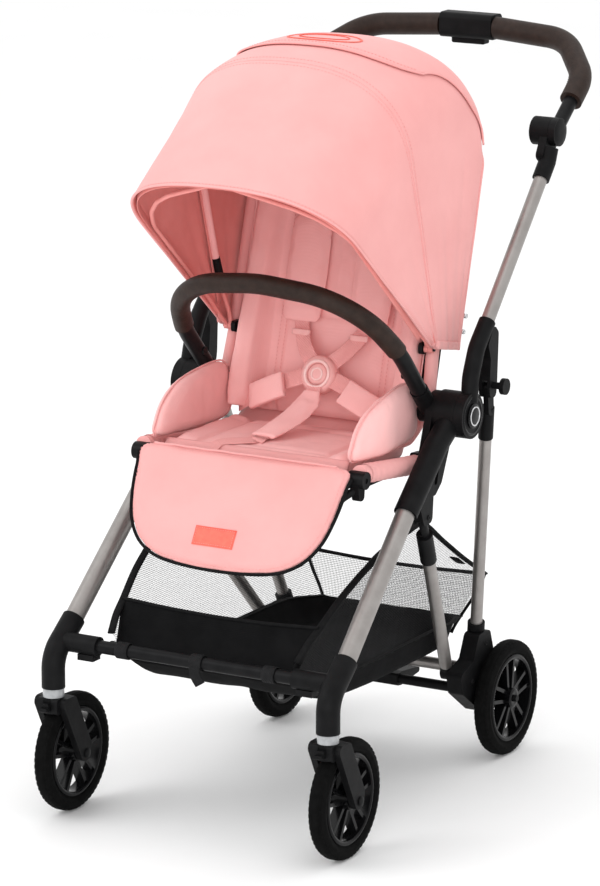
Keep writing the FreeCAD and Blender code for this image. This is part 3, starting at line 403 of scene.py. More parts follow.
def flat_section(width, thick):
    """Strap section with thinned, rounded selvedges."""
    w, t = width / 2, thick / 2
    return [(-w, -t * 0.4), (-w + 0.8, -t), (-w * 0.5, -t), (0, -t), (w * 0.5, -t), (w - 0.8, -t),
            (w, -t * 0.4), (w, t * 0.4), (w - 0.8, t), (w * 0.5, t), (0, t), (-w * 0.5, t),
            (-w + 0.8, t), (-w, t * 0.4)]


def strap(name, points, width, thick, mat, facing):
    line = smooth_line(points, 0.005)
    return sweep(name, line, flat_section(width, thick), mat, facing=facing)


def stitches(name, line, mat, body, length=3.6, gap=2.0, radius=0.42, lift=0.0, facing=None):
    """Row of sewn stitches that follows a line lying on a surface."""
    points, faces = [], []
    step = (length + gap) / 1000
    travel = distances(line)
    for n in range(int(travel[-1] / step)):
        a = point_along(line, travel, n * step)
        b = point_along(line, travel, n * step + length / 1000)
        way = b - a
        if way.length < 1e-6:
            continue
        way.normalize()
        face = (facing(a) if callable(facing) else facing) if facing is not None else way.orthogonal()
        side = way.cross(face).normalized()
        up = side.cross(way).normalized()
        base = len(points)
        for f, r in ((0, 0.25), (0.25, 1.0), (0.75, 1.0), (1.0, 0.25)):
            centre = a.lerp(b, f) + up * lift / 1000
            for angle in turns(6):
                points.append(centre + (side * math.cos(angle) + up * math.sin(angle)) * r * radius / 1000)
        for ring in range(3):
            for k in range(6):
                j = (k + 1) % 6
                r0, r1 = base + ring * 6, base + ring * 6 + 6
                faces.append((r0 + k, r0 + j, r1 + j, r1 + k))
        faces.append(tuple(base + k for k in range(5, -1, -1)))
        faces.append(tuple(base + 18 + k for k in range(6)))
    piece = mesh_piece(name, points, faces, mat)
    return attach(piece, body)


def smoothstep(t):
    t = min(max(t, 0.0), 1.0)
    return t * t * (3 - 2 * t)


def solid_between(name, front, back, mat):
    """Closed pad from matching front and back grids of points."""
    rows, across = len(front), len(front[0])
    points = [p for row in front for p in row] + [p for row in back for p in row]
    shift = rows * across
    faces = []
    for i in range(rows - 1):
        for j in range(across - 1):
            a = i * across + j
            faces.append((a, a + 1, a + across + 1, a + across))
            b = shift + a
            faces.append((b, b + across, b + across + 1, b + 1))
    for i in range(rows - 1):
        for j in (0, across - 1):
            a, b = i * across + j, (i + 1) * across + j
            faces.append((a, b, shift + b, shift + a))
    for j in range(across - 1):
        for i in (0, rows - 1):
            a, b = i * across + j, i * across + j + 1
            faces.append((a, b, shift + b, shift + a))
    return recalc(mesh_piece(name, points, faces, mat))


def puff(piece, cap, voxel=5.0, pressure=4.0, keep=None):
    """Swells a padded piece with cloth pressure; no point moves out further than cap (mm).

    keep(point) is the share of that cap which holds at a point.
    """
    bpy.ops.object.select_all(action="DESELECT")
    piece.select_set(True)
    bpy.context.view_layer.objects.active = piece
    piece.data.remesh_voxel_size = voxel / 1000
    bpy.ops.object.voxel_remesh()
    rest = [v.co.copy() for v in piece.data.vertices]
    cloth = piece.modifiers.new("Cloth", "CLOTH")
    cloth.settings.quality = 4
    cloth.settings.use_pressure = True
    cloth.settings.uniform_pressure_force = pressure
    cloth.settings.effector_weights.gravity = 0
    cloth.settings.tension_stiffness = 12
    cloth.settings.compression_stiffness = 12
    cloth.settings.bending_stiffness = 1.2
    cloth.point_cache.frame_start = 1
    cloth.point_cache.frame_end = CLOTH_FRAMES
    for f in range(1, CLOTH_FRAMES + 1):
        bpy.context.scene.frame_set(f)
    swollen = piece.evaluated_get(bpy.context.evaluated_depsgraph_get())
    moved = [v.co.copy() for v in swollen.to_mesh().vertices]
    swollen.to_mesh_clear()
    piece.modifiers.remove(cloth)
    bpy.context.scene.frame_set(1)
    normals = [v.normal.copy() for v in piece.data.vertices]
    for v, a, b, n in zip(piece.data.vertices, rest, moved, normals):
        limit = cap / 1000 * (keep(a) if keep else 1.0)
        v.co = a + n * min(max((b - a).dot(n), -DEEPEST_DENT), limit)
    bm = bmesh.new()
    bm.from_mesh(piece.data)
    for _ in range(2):
        bmesh.ops.smooth_vert(bm, verts=bm.verts, factor=0.4, use_axis_x=True, use_axis_y=True,
                              use_axis_z=True)
    bm.to_mesh(piece.data)
    bm.free()
    for polygon in piece.data.polygons:
        polygon.use_smooth = True
    return piece


def subdivide(piece, levels=1):
    modifier = piece.modifiers.new("Subdivision", "SUBSURF")
    modifier.levels = levels
    modifier.render_levels = levels
    return piece


def press(piece, depth_of):
    """Moves each point inward along its normal by depth_of(point, normal) millimetres."""
    piece.data.update()
    normals = [v.normal.copy() for v in piece.data.vertices]
    for v, n in zip(piece.data.vertices, normals):
        v.co -= n * depth_of(v.co, n) / 1000
    piece.data.update()
    return piece


def groove(distance, width, depth):
    """Depth of a sewn channel at a distance from its line, in millimetres."""
    return depth * math.exp(-(distance / width) ** 2)


# ---------------------------------------------------------------- canopy

# Each station of the canopy is an arch: foot (y, z), top (y, z), half width, corner radius.
CANOPY = [
    ((350, 655), (21, 928), 176, 140),
    ((350, 655), (62, 959), 178.5, 142),
    ((350, 655), (118, 1001), 180, 145),
    ((350, 655), (175, 1043), 180.5, 147),
    ((350, 655), (227, 1075), 181, 147),
    ((362, 652), (290, 1089), 182, 142),
    ((376, 649), (355, 1093), 183, 132),
    ((390, 646), (415, 1089), 183, 118),
    ((400, 644), (462, 1066), 182, 100),
    ((408, 642), (492, 1022), 182, 84),
    ((414, 641), (503, 965), 181, 72),
]
SEAM_ROW = 4.0
BOW_ANGLE = math.radians(73.7)
ARCH_STEPS = 64
# Share of each half arch that is its rounded top, and the exponent of that superellipse.
TURN_SHARE = 0.52
CORNER_POWER = 2 / 2.45
ROWS_PER_STATION = 7


def station(v):
    """Arch between two stations: v counts stations from the front lip."""
    v = min(max(v, 0.0), len(CANOPY) - 1.0)
    i = min(int(v), len(CANOPY) - 2)
    f = v - i

    def pick(k):
        foot, top, half, corner = CANOPY[min(max(k, 0), len(CANOPY) - 1)]
        return Vector((*foot, 0)), Vector((*top, 0)), half, corner

    values = [pick(i + k) for k in (-1, 0, 1, 2)]

    def curve(p0, p1, p2, p3):
        return 0.5 * ((2 * p1) + (p2 - p0) * f + (2 * p0 - 5 * p1 + 4 * p2 - p3) * f * f
                      + (3 * p1 - p0 - 3 * p2 + p3) * f ** 3)

    return tuple(curve(*(value[k] for value in values)) for k in range(4))


def canopy_point(u, v, inward=0.0, base=8.0):
    """Point of the canopy: u from -1 (one foot) over the top (0) to 1, v along its length."""
    foot, top, half, corner = station(v)
    span = (top - foot).length
    way = (top - foot) / span
    side = -1 if u < 0 else 1
    a = abs(u)
    straight = span - corner
    if a > TURN_SHARE:
        f = (a - TURN_SHARE) / (1 - TURN_SHARE)
        x, s = half, straight + (base - straight) * f
    else:
        angle = (1 - a / TURN_SHARE) * math.pi / 2
        x = half * math.cos(angle) ** CORNER_POWER
        s = straight + corner * math.sin(angle) ** CORNER_POWER
    share = s / span
    sag = 2.2 * math.sin(math.pi * min(max((v - 0.2) / 3.6, 0), 1))
    sag += 1.8 * math.sin(math.pi * min(max((v - 4.2) / 5.6, 0), 1))
    gather = (1 - smoothstep(share * 1.7)) * 1.6
    folds = gather * math.sin(v * 5.1 + side) * (0.6 + 0.4 * math.sin(v * 2.3))
    place = at(side * x, 0, 0) + at(0, foot.x + way.x * s, foot.y + way.y * s) - at(0, 0, 0)
    drift = noise.noise(Vector((side * a * 3.0, v * 0.55, 1.7))) * 1.5
    drift += noise.noise(Vector((side * a * 8.0, v * 1.9, 8.1))) * 0.6
    pull = (inward + sag * (0.35 + 0.65 * share) + folds + drift) / 1000
    heading = Vector((side * (x / half) ** 3, way.x * share * share * 0.9, way.y * share * share * 0.9))
    if heading.length > 1e-6:
        place = place - heading.normalized() * pull
    return place


def canopy_rows(first, last, count, inward=0.0, base=8.0, reach=1.0):
    rows = []
    for i in range(count):
        v = first + (last - first) * i / (count - 1)
        rows.append([canopy_point(-reach + 2 * reach * j / (2 * ARCH_STEPS), v, inward, base)
                     for j in range(2 * ARCH_STEPS + 1)])
    return rows


def outward(p):
    """Direction pointing out of the canopy at a point on it."""
    return (p - at(0, 330, 780)).normalized()


def build_canopy():
    last = len(CANOPY) - 1
    cover = grid_piece("canopy_cover", canopy_rows(0, last, last * ROWS_PER_STATION + 1), PINK)
    recalc(cover)
    # second slot, for the inner face: the darker pink, painted shade inside the canopy
    cover.data.materials.append(PINK_PAINTED_SHADE)
    crown = cover.data.polygons[len(cover.data.polygons) // 2]
    shell = thicken(cover, 0.0024, -1 if crown.normal.dot(outward(crown.center)) > 0 else 1)
    shell.material_offset = 1
    shell.material_offset_rim = 0
    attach(cover, "backrest")
    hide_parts("canopy_fabric")

    def rim(v, inward=0.0, base=8.0, reach=1.0):
        return [canopy_point(-reach + 2 * reach * j / 160, v, inward, base) for j in range(161)]

    for name, v, radius in (("canopy_lip_piping", 0.0, 1.9), ("canopy_seam_piping", SEAM_ROW, 1.5),
                            ("canopy_rear_piping", float(last), 1.7)):
        bead = sweep(name, rim(v, 0.3), round_section(radius, 10), PINK)
        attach(bead, "backrest")
    for k, v in enumerate((0.12, 3.86, 4.14, 9.8)):
        stitches("canopy_stitches_%d" % k, rim(v, -0.25, 14), PINK_THREAD, "backrest", facing=outward)

    # flap over the rear vent, laid on the crown, with a hemmed front edge
    def flap_point(a, f, lift):
        half_u = 0.30 + 0.17 * smoothstep(f * 1.5)
        front = 5.0 + 0.95 * abs(a) ** 4
        v = front + (9.5 - front) * f
        return canopy_point(a * half_u, v, -lift)

    top = [[flap_point(-1 + 2 * j / 48, i / 30, 2.6) for j in range(49)] for i in range(31)]
    flap = recalc(grid_piece("canopy_flap", top, PINK))
    thicken(flap, 0.0018, 0)
    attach(flap, "backrest")
    edge = [flap_point(-1 + 2 * j / 60, 0.0, 3.0) for j in range(61)]
    sides = [flap_point(1, i / 30, 3.0) for i in range(1, 31)]
    other = [flap_point(-1, 1 - i / 30, 3.0) for i in range(30)]
    hem = sweep("canopy_flap_piping", other + edge + sides, round_section(1.5, 10), PINK)
    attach(hem, "backrest")
    inner = [flap_point(-0.93 + 1.86 * j / 60, 0.045, 4.0) for j in range(61)]
    stitches("canopy_flap_stitches", inner, PINK_THREAD, "backrest", facing=outward)

    # plain oval patch on the crown, with a raised plain ring and no mark
    for name, size, width, lift in (("crown_patch_ring", 1.0, 1.6, 4.3),
                                    ("crown_patch_inner", 0.62, 1.1, 4.2)):
        ring = [canopy_point(0.082 * size * math.cos(a), 5.75 + 0.42 * size * math.sin(a), -lift)
                for a in turns(48)]
        bead = sweep(name, ring, flat_section(2 * width, 1.0), CORAL, facing=outward, closed=True)
        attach(bead, "backrest")

    # pockets that hold the bows against the lining, in the darker pink that paints the shade inside the
    # canopy
    for name, v in (("front_bow_pocket", 0.3), ("middle_bow_pocket", SEAM_ROW)):
        pocket = sweep(name, rim(v, 5.2, 30, 0.985), flat_section(19, 1.2), PINK_PAINTED_SHADE, facing=outward)
        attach(pocket, "backrest")
    for side, sign in SIDES:
        hem_line = [canopy_point(sign * 1.0, v / 10, -0.6, 8.0) for v in range(0, last * 10 + 1, 3)]
        hem_piece = strap(side + "_canopy_hem", hem_line, 12, 2.4, PINK, Vector((sign, 0, 0)))
        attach(hem_piece, "backrest")
        # press studs that close the rear corner
        for k, (y, z) in enumerate(((425, 668), (432, 690))):
            stud = sweep("%s_canopy_stud_%d" % (side, k),
                         [at(sign * 180.5, y, z), at(sign * 182, y, z), at(sign * 184.2, y, z)],
                         round_section(3.6, 16), STEEL)
            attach(stud, "backrest")
        # the middle bow's leg: cloth sleeve that ends in a black cap above the clip
        leg = [at(sign * x, CANOPY_CLIP[0] - s * math.cos(BOW_ANGLE),
                  CANOPY_CLIP[1] + s * math.sin(BOW_ANGLE))
               for x, s in ((169.5, 84), (170.2, 96), (171.2, 110), (171.8, 170), (171.8, 250), (170.5, 300))]
        sleeve = sweep(side + "_bow_sleeve", smooth_line(leg[1:], 0.008), round_section(5.6, 16), PINK_PAD)
        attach(sleeve, "middle_bow")
        cap = sweep(side + "_bow_cap", smooth_line(leg[:3], 0.004), round_section(6.4, 16), PLASTIC)
        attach(cap, "middle_bow")
    wide = max(length_of(rim(v)) for v in (0.0, 5.0, float(last)))
    middle = [canopy_point(0, v / 10) for v in range(0, last * 10 + 1)]


build_canopy()


# ---------------------------------------------------------------- seat soft goods

def pad_grid(place, across=40, along=50):
    """Grid of points: place(x share -1..1, t share 0..1)."""
    return [[place(-1 + 2 * j / across, i / along) for j in range(across + 1)] for i in range(along + 1)]


BOLSTER = 50.0


def build_backrest_pad():
    """Cushion with side bolsters that come forward round the child, more at the hips than the head."""
    def half_width(t):
        return 146 - 16 * smoothstep((t - 0.72) / 0.28) - 4 * (1 - smoothstep(t / 0.1))

    def front(a, t):
        h = -29 + 407 * t
        bolster = smoothstep((abs(a) - 0.74) / 0.18)
        rise = bolster * (BOLSTER * (1 - 0.62 * t) * (1 - smoothstep((t - 0.80) / 0.20)))
        crown = 2.5 * (1 - min(abs(a) / 0.55, 1) ** 2)
        return on_back(a * half_width(t), h, 13 - rise - crown)

    def back(a, t):
        return on_back(a * (half_width(t) - 3), -27 + 403 * t, 38)

    pad = solid_between("backrest_cushion", pad_grid(front), pad_grid(back), PINK_PAD)
    puff(pad, 6.0, voxel=5.0)

    lean = Vector((0, math.cos(BACK_LEAN), -math.sin(BACK_LEAN)))
    origin = on_back(0, 0, 0)
    rise = Vector((0, math.sin(BACK_LEAN), math.cos(BACK_LEAN)))

    def channels(p, n):
        if n.dot(lean) > -0.15:
            return 0
        x = abs(p.x) * 1000
        t = (p - origin).dot(rise) * 1000
        depth = groove(x - 88, 4.0, 5.5)
        if x < 92:
            depth = max(depth, groove(t - 118, 4.0, 3.2), groove(t - 330, 4.5, 3.0))
            depth = max(depth, groove(x - 14, 2.6, 1.8) if 118 < t < 330 else 0)
        depth += 0.9 * noise.noise(p * 34) + 0.5 * noise.noise(p * 90)
        return depth

    press(pad, channels)
    subdivide(pad)
    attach(pad, "backrest")
    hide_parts("backrest_pad")

    # dark vent strip down the middle and slots for the shoulder straps, in the darker pink of painted shade
    strip = strap("backrest_vent_strip", [on_back(0, t, 9.0) for t in (135, 180, 230, 280, 322)],
                  9, 2.4, PINK_PAINTED_SHADE, -lean)
    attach(strip, "backrest")
    for side, sign in SIDES:
        for k, t in enumerate((290, 312)):
            slit = strap("%s_strap_slot_%d" % (side, k),
                         [on_back(sign * x, t, 7.6) for x in (36, 46, 58, 72)], 5, 2.6, PINK_PAINTED_SHADE, -lean)
            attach(slit, "backrest")
        for k, x in enumerate((83.5, 92.5)):
            seam = [on_back(sign * x, t, 6.2) for t in range(0, 372, 12)]
            stitches("%s_backrest_stitches_%d" % (side, k), seam, PINK_THREAD, "backrest", facing=-lean)


def build_seat_pad():
    def front(a, t):
        y = 140 + 184 * t
        crown = 3.0 * (1 - abs(a) ** 3)
        bolster = 7 * smoothstep((abs(a) - 0.70) / 0.22)
        return at(a * 145, y, 521 + crown + bolster - 4 * smoothstep((0.14 - t) / 0.14))

    def back(a, t):
        return at(a * 143, 143 + 176 * t, 501)

    pad = solid_between("seat_cushion", pad_grid(front, 44, 28), pad_grid(back, 44, 28), PINK_PAD)
    puff(pad, 5.5, voxel=5.0)

    def channels(p, n):
        if n.z < 0.2:
            return 0
        x = abs(p.x) * 1000
        y = p.y * 1000 + ORIGIN_Y
        depth = groove(x - 104, 4.5, 4.0)
        depth = max(depth, groove(y - 172, 4.0, 2.6) if x < 104 else 0, groove(y - 292, 5.0, 3.0))
        return depth + 0.8 * noise.noise(p * 36) + 0.5 * noise.noise(p * 95)

    press(pad, channels)
    subdivide(pad)
    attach(pad, "front_frame")
    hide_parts("seat_pad")
    # front edge: the cover turns down over the seat's front
    apron_rows = []
    for i in range(15):
        f = i / 14
        y = 150 - 13 * math.sin(f * math.pi / 2)
        z = 528 - 20 * (1 - math.cos(f * math.pi / 2)) + 1.5
        apron_rows.append([at(-150 + 300 * j / 50, y + 1.2 * math.sin(j * 0.9) * f, z) for j in range(51)])
    apron = recalc(grid_piece("seat_front_fold", apron_rows, PINK))
    thicken(apron, 0.0022)
    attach(apron, "front_frame")


WING_OUTLINE = [(128, 535), (135, 557), (152, 579), (185, 598), (230, 609), (285, 614), (318, 606),
                (333, 572), (332, 534), (290, 524), (230, 524), (170, 529)]
WING_INNER_X = 151.5


def build_wings():
    """Side bolsters: wide at the front, thin where they pass inside the hubs."""
    def thickness(y):
        return 1.0 - 0.60 * smoothstep((y - 200) / 88)

    for side, sign in SIDES:
        line = smooth_line([at(0, y, z) for y, z in WING_OUTLINE], 0.007, closed=True)
        centre = sum(line, Vector()) / len(line)

        def placed(p, x, share):
            q = centre + (p - centre) * share
            y = q.y * 1000 + ORIGIN_Y
            return q + Vector((sign * (WING_INNER_X + (x - WING_INNER_X) * thickness(y)) / 1000, 0, 0))

        rows = []
        for x, share in ((152.0, 0.30), (151.0, 0.70), (152.0, 0.92), (155.5, 0.975), (161.5, 0.99),
                         (167.0, 0.975), (170.5, 0.92), (172.0, 0.70), (172.0, 0.30)):
            rows.append([placed(p, x, share) for p in line])
        wing = recalc(grid_piece(side + "_seat_wing", rows, PINK_PAD, wrap=True, caps=True))
        puff(wing, 4.0, voxel=4.5, keep=lambda p: 0.3 + 0.7 * thickness(p.y * 1000 + ORIGIN_Y) ** 2)

        press(wing, lambda p, n: 0.9 * noise.noise(p * 40) + 0.4 * noise.noise(p * 110))
        subdivide(wing)
        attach(wing, "front_frame")
        if sign > 0:
            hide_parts("seat_wings")
        bead_line = [placed(p, 161.5, 1.0) for p in line]
        bead = sweep(side + "_wing_piping", bead_line, round_section(1.3, 8), PINK, closed=True)
        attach(bead, "front_frame")


def build_seat_lining():
    """Cloth that closes the gap between the seat cushion and the backrest cushion, and at its sides."""
    profile = smooth_line([at(0, 296, 519), at(0, 318, 517), at(0, 338, 520), on_back(0, -18, 36),
                           on_back(0, 12, 39.5), on_back(0, 46, 39.5)], 0.006)
    rows = []
    for i, p in enumerate(profile):
        f = i / (len(profile) - 1)
        wave = 0.0012 * math.sin(math.pi * f)
        rows.append([p + Vector(((-149 + 298 * j / 40) / 1000, 0, wave * math.sin(j * 0.8)))
                     for j in range(41)])
    lining = recalc(grid_piece("seat_back_lining", rows, PINK_PAD))
    thicken(lining, 0.0016)
    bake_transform(lining)
    for side, sign in SIDES:
        # sleeve round the backrest tube
        tube_line = ((169.2, 22), (167.2, 52), (165.4, 84), (164.8, 130), (164, 200), (163.4, 270),
                     (162.8, 318))
        line = smooth_line([on_back(sign * x, t, 0) for x, t in tube_line], 0.006)
        sleeve = sweep(side + "_back_tube_sleeve", line, round_section(9.6, 20), PINK)
        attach(sleeve, "backrest")
        # side cover from the sleeve in to the cushion
        rows = []
        for i in range(46):
            t = 26 + 336 * i / 45
            wave = 1.1 * noise.noise(Vector((t * 0.021, sign, 4.0)))
            rows.append([on_back(sign * (154.0 - 14 * f), t,
                                 -6 + 40 * f ** 1.4 + wave * math.sin(math.pi * f))
                         for f in (k / 10 for k in range(11))])
        cover = recalc(grid_piece(side + "_back_side_cover", rows, PINK_PAD))
        thicken(cover, 0.0018)
        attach(cover, "backrest")


build_backrest_pad()
build_seat_pad()
build_wings()
build_seat_lining()


# ---------------------------------------------------------------- footrest

FOOT_OUTLINE = [(-168, 1), (-84, 0), (0, 0), (84, 0), (168, 1), (171, 34), (166, 78), (154, 118),
                (128, 150), (84, 168), (0, 174), (-84, 168), (-128, 150), (-154, 118), (-166, 78),
                (-171, 34)]


def build_footrest():
    line = smooth_line([Vector((x, d, 0)) for x, d in FOOT_OUTLINE], 7.0, closed=True)
    centre = Vector((0, 84, 0))
    rows = []
    for offset, share in ((10.5, 0.94), (10.2, 0.975), (6.0, 0.99), (2.4, 0.975), (1.4, 0.94), (1.2, 0.7),
                          (1.2, 0.4), (1.2, 0.15)):
        rows.append([on_foot(*(centre + (p - centre) * share).xy, offset) for p in line])
    panel = recalc(grid_piece("footrest_cushion", rows, PINK, wrap=True, caps=True))
    puff(panel, 3.6, voxel=5.0, pressure=3.0)
    face = on_foot(0, 0, 0) - on_foot(0, 0, 1)

    press(panel, lambda p, n: 0.9 * noise.noise(p * 18) + 0.3 * noise.noise(p * 70))
    subdivide(panel)
    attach(panel, "footrest")
    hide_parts("footrest_panel")
    around = [p for p in line if p.y > 7]
    around.sort(key=lambda p: math.atan2(p.x, p.y - 84))
    edge = [on_foot(p.x, p.y, 5.8) for p in around]
    piping = sweep("footrest_black_piping", edge, round_section(2.4, 12), BLACK_BINDING)
    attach(piping, "footrest")
    top_edge = [on_foot(-150 + 300 * k / 60, 0.6 + noise.noise(Vector((k * 0.2, 0, 0))), 3.0)
                for k in range(61)]
    bead = sweep("footrest_top_piping", top_edge, round_section(2.0, 10), PINK)
    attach(bead, "footrest")
    hem = [on_foot(p.x * 0.955, 84 + (p.y - 84) * 0.945, -1.6) for p in line]
    stitches("footrest_stitches", hem + [hem[0]], PINK_THREAD, "footrest", facing=face)
    # plain coral patch, no lettering
    patch_rows = []
    for i in range(9):
        d = 114 + 28 * i / 8
        patch_rows.append([on_foot(-43 + 66 * j / 18, d, -3.4) for j in range(19)])
    patch = recalc(grid_piece("footrest_patch", patch_rows, CORAL))
    thicken(patch, 0.0016)
    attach(patch, "footrest")
    border = [on_foot(x, d, -4.2) for x, d in ((-40.5, 116.5), (20.5, 116.5), (20.5, 139.5), (-40.5, 139.5),
                                               (-40.5, 116.5))]
    for k in range(4):
        run = [border[k].lerp(border[k + 1], i / 6) for i in range(7)]
        stitches("patch_stitches_%d" % k, run, PINK_THREAD, "footrest", length=2.4, gap=1.4, radius=0.3,
                 facing=face)
    # cloth backing so that the panel is finished from behind
    back_rows = []
    for share in (0.02, 0.3, 0.6, 0.85, 0.96):
        back_rows.append([on_foot(*(centre + (p - centre) * share).xy, 12.0) for p in line])
    backing = recalc(grid_piece("footrest_backing", back_rows, BLACK_CLOTH, wrap=True))
    thicken(backing, 0.0014)
    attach(backing, "footrest")


build_footrest()


# ---------------------------------------------------------------- harness

def build_harness():
    lean = Vector((0, math.cos(BACK_LEAN), -math.sin(BACK_LEAN)))
    for side, sign in SIDES:
        rows = [[on_back(sign * 56 + half * math.cos(a), 106 + 156 * f, 5.2 * math.sin(a) - 1.0)
                 for a in turns(28)]
                for f, half in ((0.0, 26), (0.05, 33), (0.5, 36), (0.95, 33), (1.0, 26))]
        dense = []
        for a, b in zip(rows, rows[1:]):
            for k in range(6):
                dense.append([p.lerp(q, k / 6) for p, q in zip(a, b)])
        dense.append(rows[-1])
        pad = recalc(grid_piece(side + "_shoulder_cushion", dense, PINK_PAD, wrap=True, caps=True))
        puff(pad, 3.6, voxel=3.6)
        subdivide(pad)
        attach(pad, "backrest")
        if sign > 0:
            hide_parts("shoulder_pads")
        # webbing from the slot behind the pad, through it, and down to the buckle
        run = [on_back(sign * 54, 306, 9), on_back(sign * 54, 286, 0), on_back(sign * 54, 262, -1),
               on_back(sign * 54, 190, -1), on_back(sign * 53, 112, -1), on_back(sign * 48, 92, -6),
               on_back(sign * 38, 74, -14), on_back(sign * 27, 60, -20), on_back(sign * 15, 48, -23)]
        webbing = strap(side + "_shoulder_webbing", run, 24, 1.6, PINK_WEBBING, -lean)
        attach(webbing, "backrest")
        if sign > 0:
            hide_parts("shoulder_straps")
        slider = strap(side + "_strap_slider", [on_back(sign * x, 90, -9) for x in (33, 41, 49, 57, 63)],
                       9, 3.6, PINK_MOULDING, -lean)
        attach(slider, "backrest")
        # hip strap from the seat's side to the buckle
        hip = [at(sign * 136, 326, 545), at(sign * 118, 318, 556), at(sign * 88, 315, 572),
               at(sign * 56, 318, 588), at(sign * 24, 320, 600)]
        hip_strap = strap(side + "_hip_webbing", hip, 25, 1.6, PINK_WEBBING, Vector((0, -0.86, 0.5)))
        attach(hip_strap, "front_frame")
        loop = smooth_line([at(sign * 108, 312, 561), at(sign * 84, 306, 573), at(sign * 50, 308, 588)],
                           0.004)
        sleeve = sweep(side + "_hip_sleeve", loop, flat_section(40, 9.0), PINK_PAD,
                       facing=Vector((0, -0.86, 0.5)))
        puff(sleeve, 2.5, voxel=3.0)
        subdivide(sleeve)
        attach(sleeve, "front_frame")
    # crotch pad: a padded sleeve from the seat up to the buckle
    rows = []
    path = smooth_line([at(-20, 196, 537), at(-14, 226, 543), at(-7, 262, 553), at(-2, 290, 568),
                        at(0, 304, 584)], 0.004)
    for i, p in enumerate(path):
        f = i / (len(path) - 1)
        half = 20 + 4 * math.sin(f * math.pi) - 6 * smoothstep((f - 0.8) / 0.2)
        up = Vector((0, -0.25 - 0.43 * f, 0.97 - 0.24 * f))
        rows.append([p + Vector((half * math.cos(a) / 1000, 0, 0)) + up * (4.2 * math.sin(a) / 1000)
                     for a in turns(28)])
    crotch = recalc(grid_piece("crotch_cushion", rows, PINK_PAD, wrap=True, caps=True))
    puff(crotch, 3.0, voxel=3.4)
    subdivide(crotch)
    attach(crotch, "front_frame")
    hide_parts("crotch_pad")
    tail = strap("crotch_webbing", [at(-23, 182, 531), at(-21, 190, 535), at(-20, 200, 537), at(-2, 290, 568),
                                    at(0, 312, 592)], 24, 1.6, PINK_WEBBING, Vector((0, -0.40, 0.90)))
    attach(tail, "front_frame")
    adjuster = strap("adjuster_webbing", [at(-26, 186, 532), at(-40, 172, 532.5), at(-56, 160, 532),
                                          at(-66, 150, 530.5), at(-72, 138, 521), at(-74, 133, 507)],
                     22, 1.4, PINK_WEBBING, Vector((0, -0.25, 1)))
    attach(adjuster, "front_frame")
    # buckle: domed body with a lighter raised ring; a turned button face on the CAD button's body sits in its
    # middle
    way = Vector((0, -math.cos(math.radians(20)), math.sin(math.radians(20))))
    centre = at(0, 326, 603)

    def turned(name, profile, mat, body):
        return disc(name, centre, way, profile, mat, body, 64, Vector((1, 0, 0)))

    body = turned("buckle_body", [(16.3, -7), (16.3, 9.2), (17.0, 10.0), (20, 10.2), (24.5, 9.2), (27.3, 6.8),
                                  (28.4, 3), (28.4, -6), (27, -8.6), (16.3, -8.8), (16.3, -7)],
                  PINK_MOULDING, "front_frame")
    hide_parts("harness_buckle")
    turned("buckle_ring", [(17.0, 9.6), (17.2, 11.0), (19.2, 11.5), (21.4, 11.1), (22.0, 9.6), (17.0, 9.6)],
           PINK_SATIN, "front_frame")
    button = turned("buckle_button_face",
                    [(0.01, 10.2), (6, 10.1), (12, 9.6), (15, 8.6), (15.9, 6.8), (15.9, 5), (0.01, 5)],
                    PINK_MOULDING, "buckle_button")
    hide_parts("buckle_button")
    turned("buckle_button_ring", [(7.0, 9.9), (7.3, 10.7), (8.6, 10.9), (9.9, 10.5), (10.2, 9.5), (7.0, 9.9)],
           PINK_SATIN, "buckle_button")


build_harness()


# ---------------------------------------------------------------- basket

# Side view (y, z) of the basket's rim, of the line where mesh meets the tray, and of the tray's floor.
BASKET_RIM = [(-6, 274), (16, 296), (40, 312), (100, 352), (180, 385), (300, 401), (336, 400), (400, 360),
              (480, 312), (558, 271)]
TRAY_EDGE = [(-6, 262), (16, 244), (60, 228), (130, 219), (220, 215), (340, 215), (440, 214), (500, 209),
             (546, 203)]
TRAY_FLOOR = [(22, 232), (60, 205), (120, 186), (180, 177), (250, 172), (376, 170), (470, 171), (522, 175),
              (546, 203)]


def basket_half(y, z):
    """Half width of the basket at a place in its side view."""
    plan = 184 - (y + 12) / 582 * 29
    taper = 128 + (z - 165) / 250 * 56
    corner = 24 * smoothstep((y - 470) / 76) * (1 - smoothstep((z - 175) / 95))
    return min(plan, taper) - corner


def along_profile(points, count):
    """Evenly spaced (y, z) places along a smooth curve through the given ones."""
    line = smooth_line([Vector((0, y / 1000, z / 1000)) for y, z in points], 0.004)
    travel = distances(line)
    spaced = [point_along(line, travel, travel[-1] * i / (count - 1)) for i in range(count)]
    return [(p.y * 1000, p.z * 1000) for p in spaced]


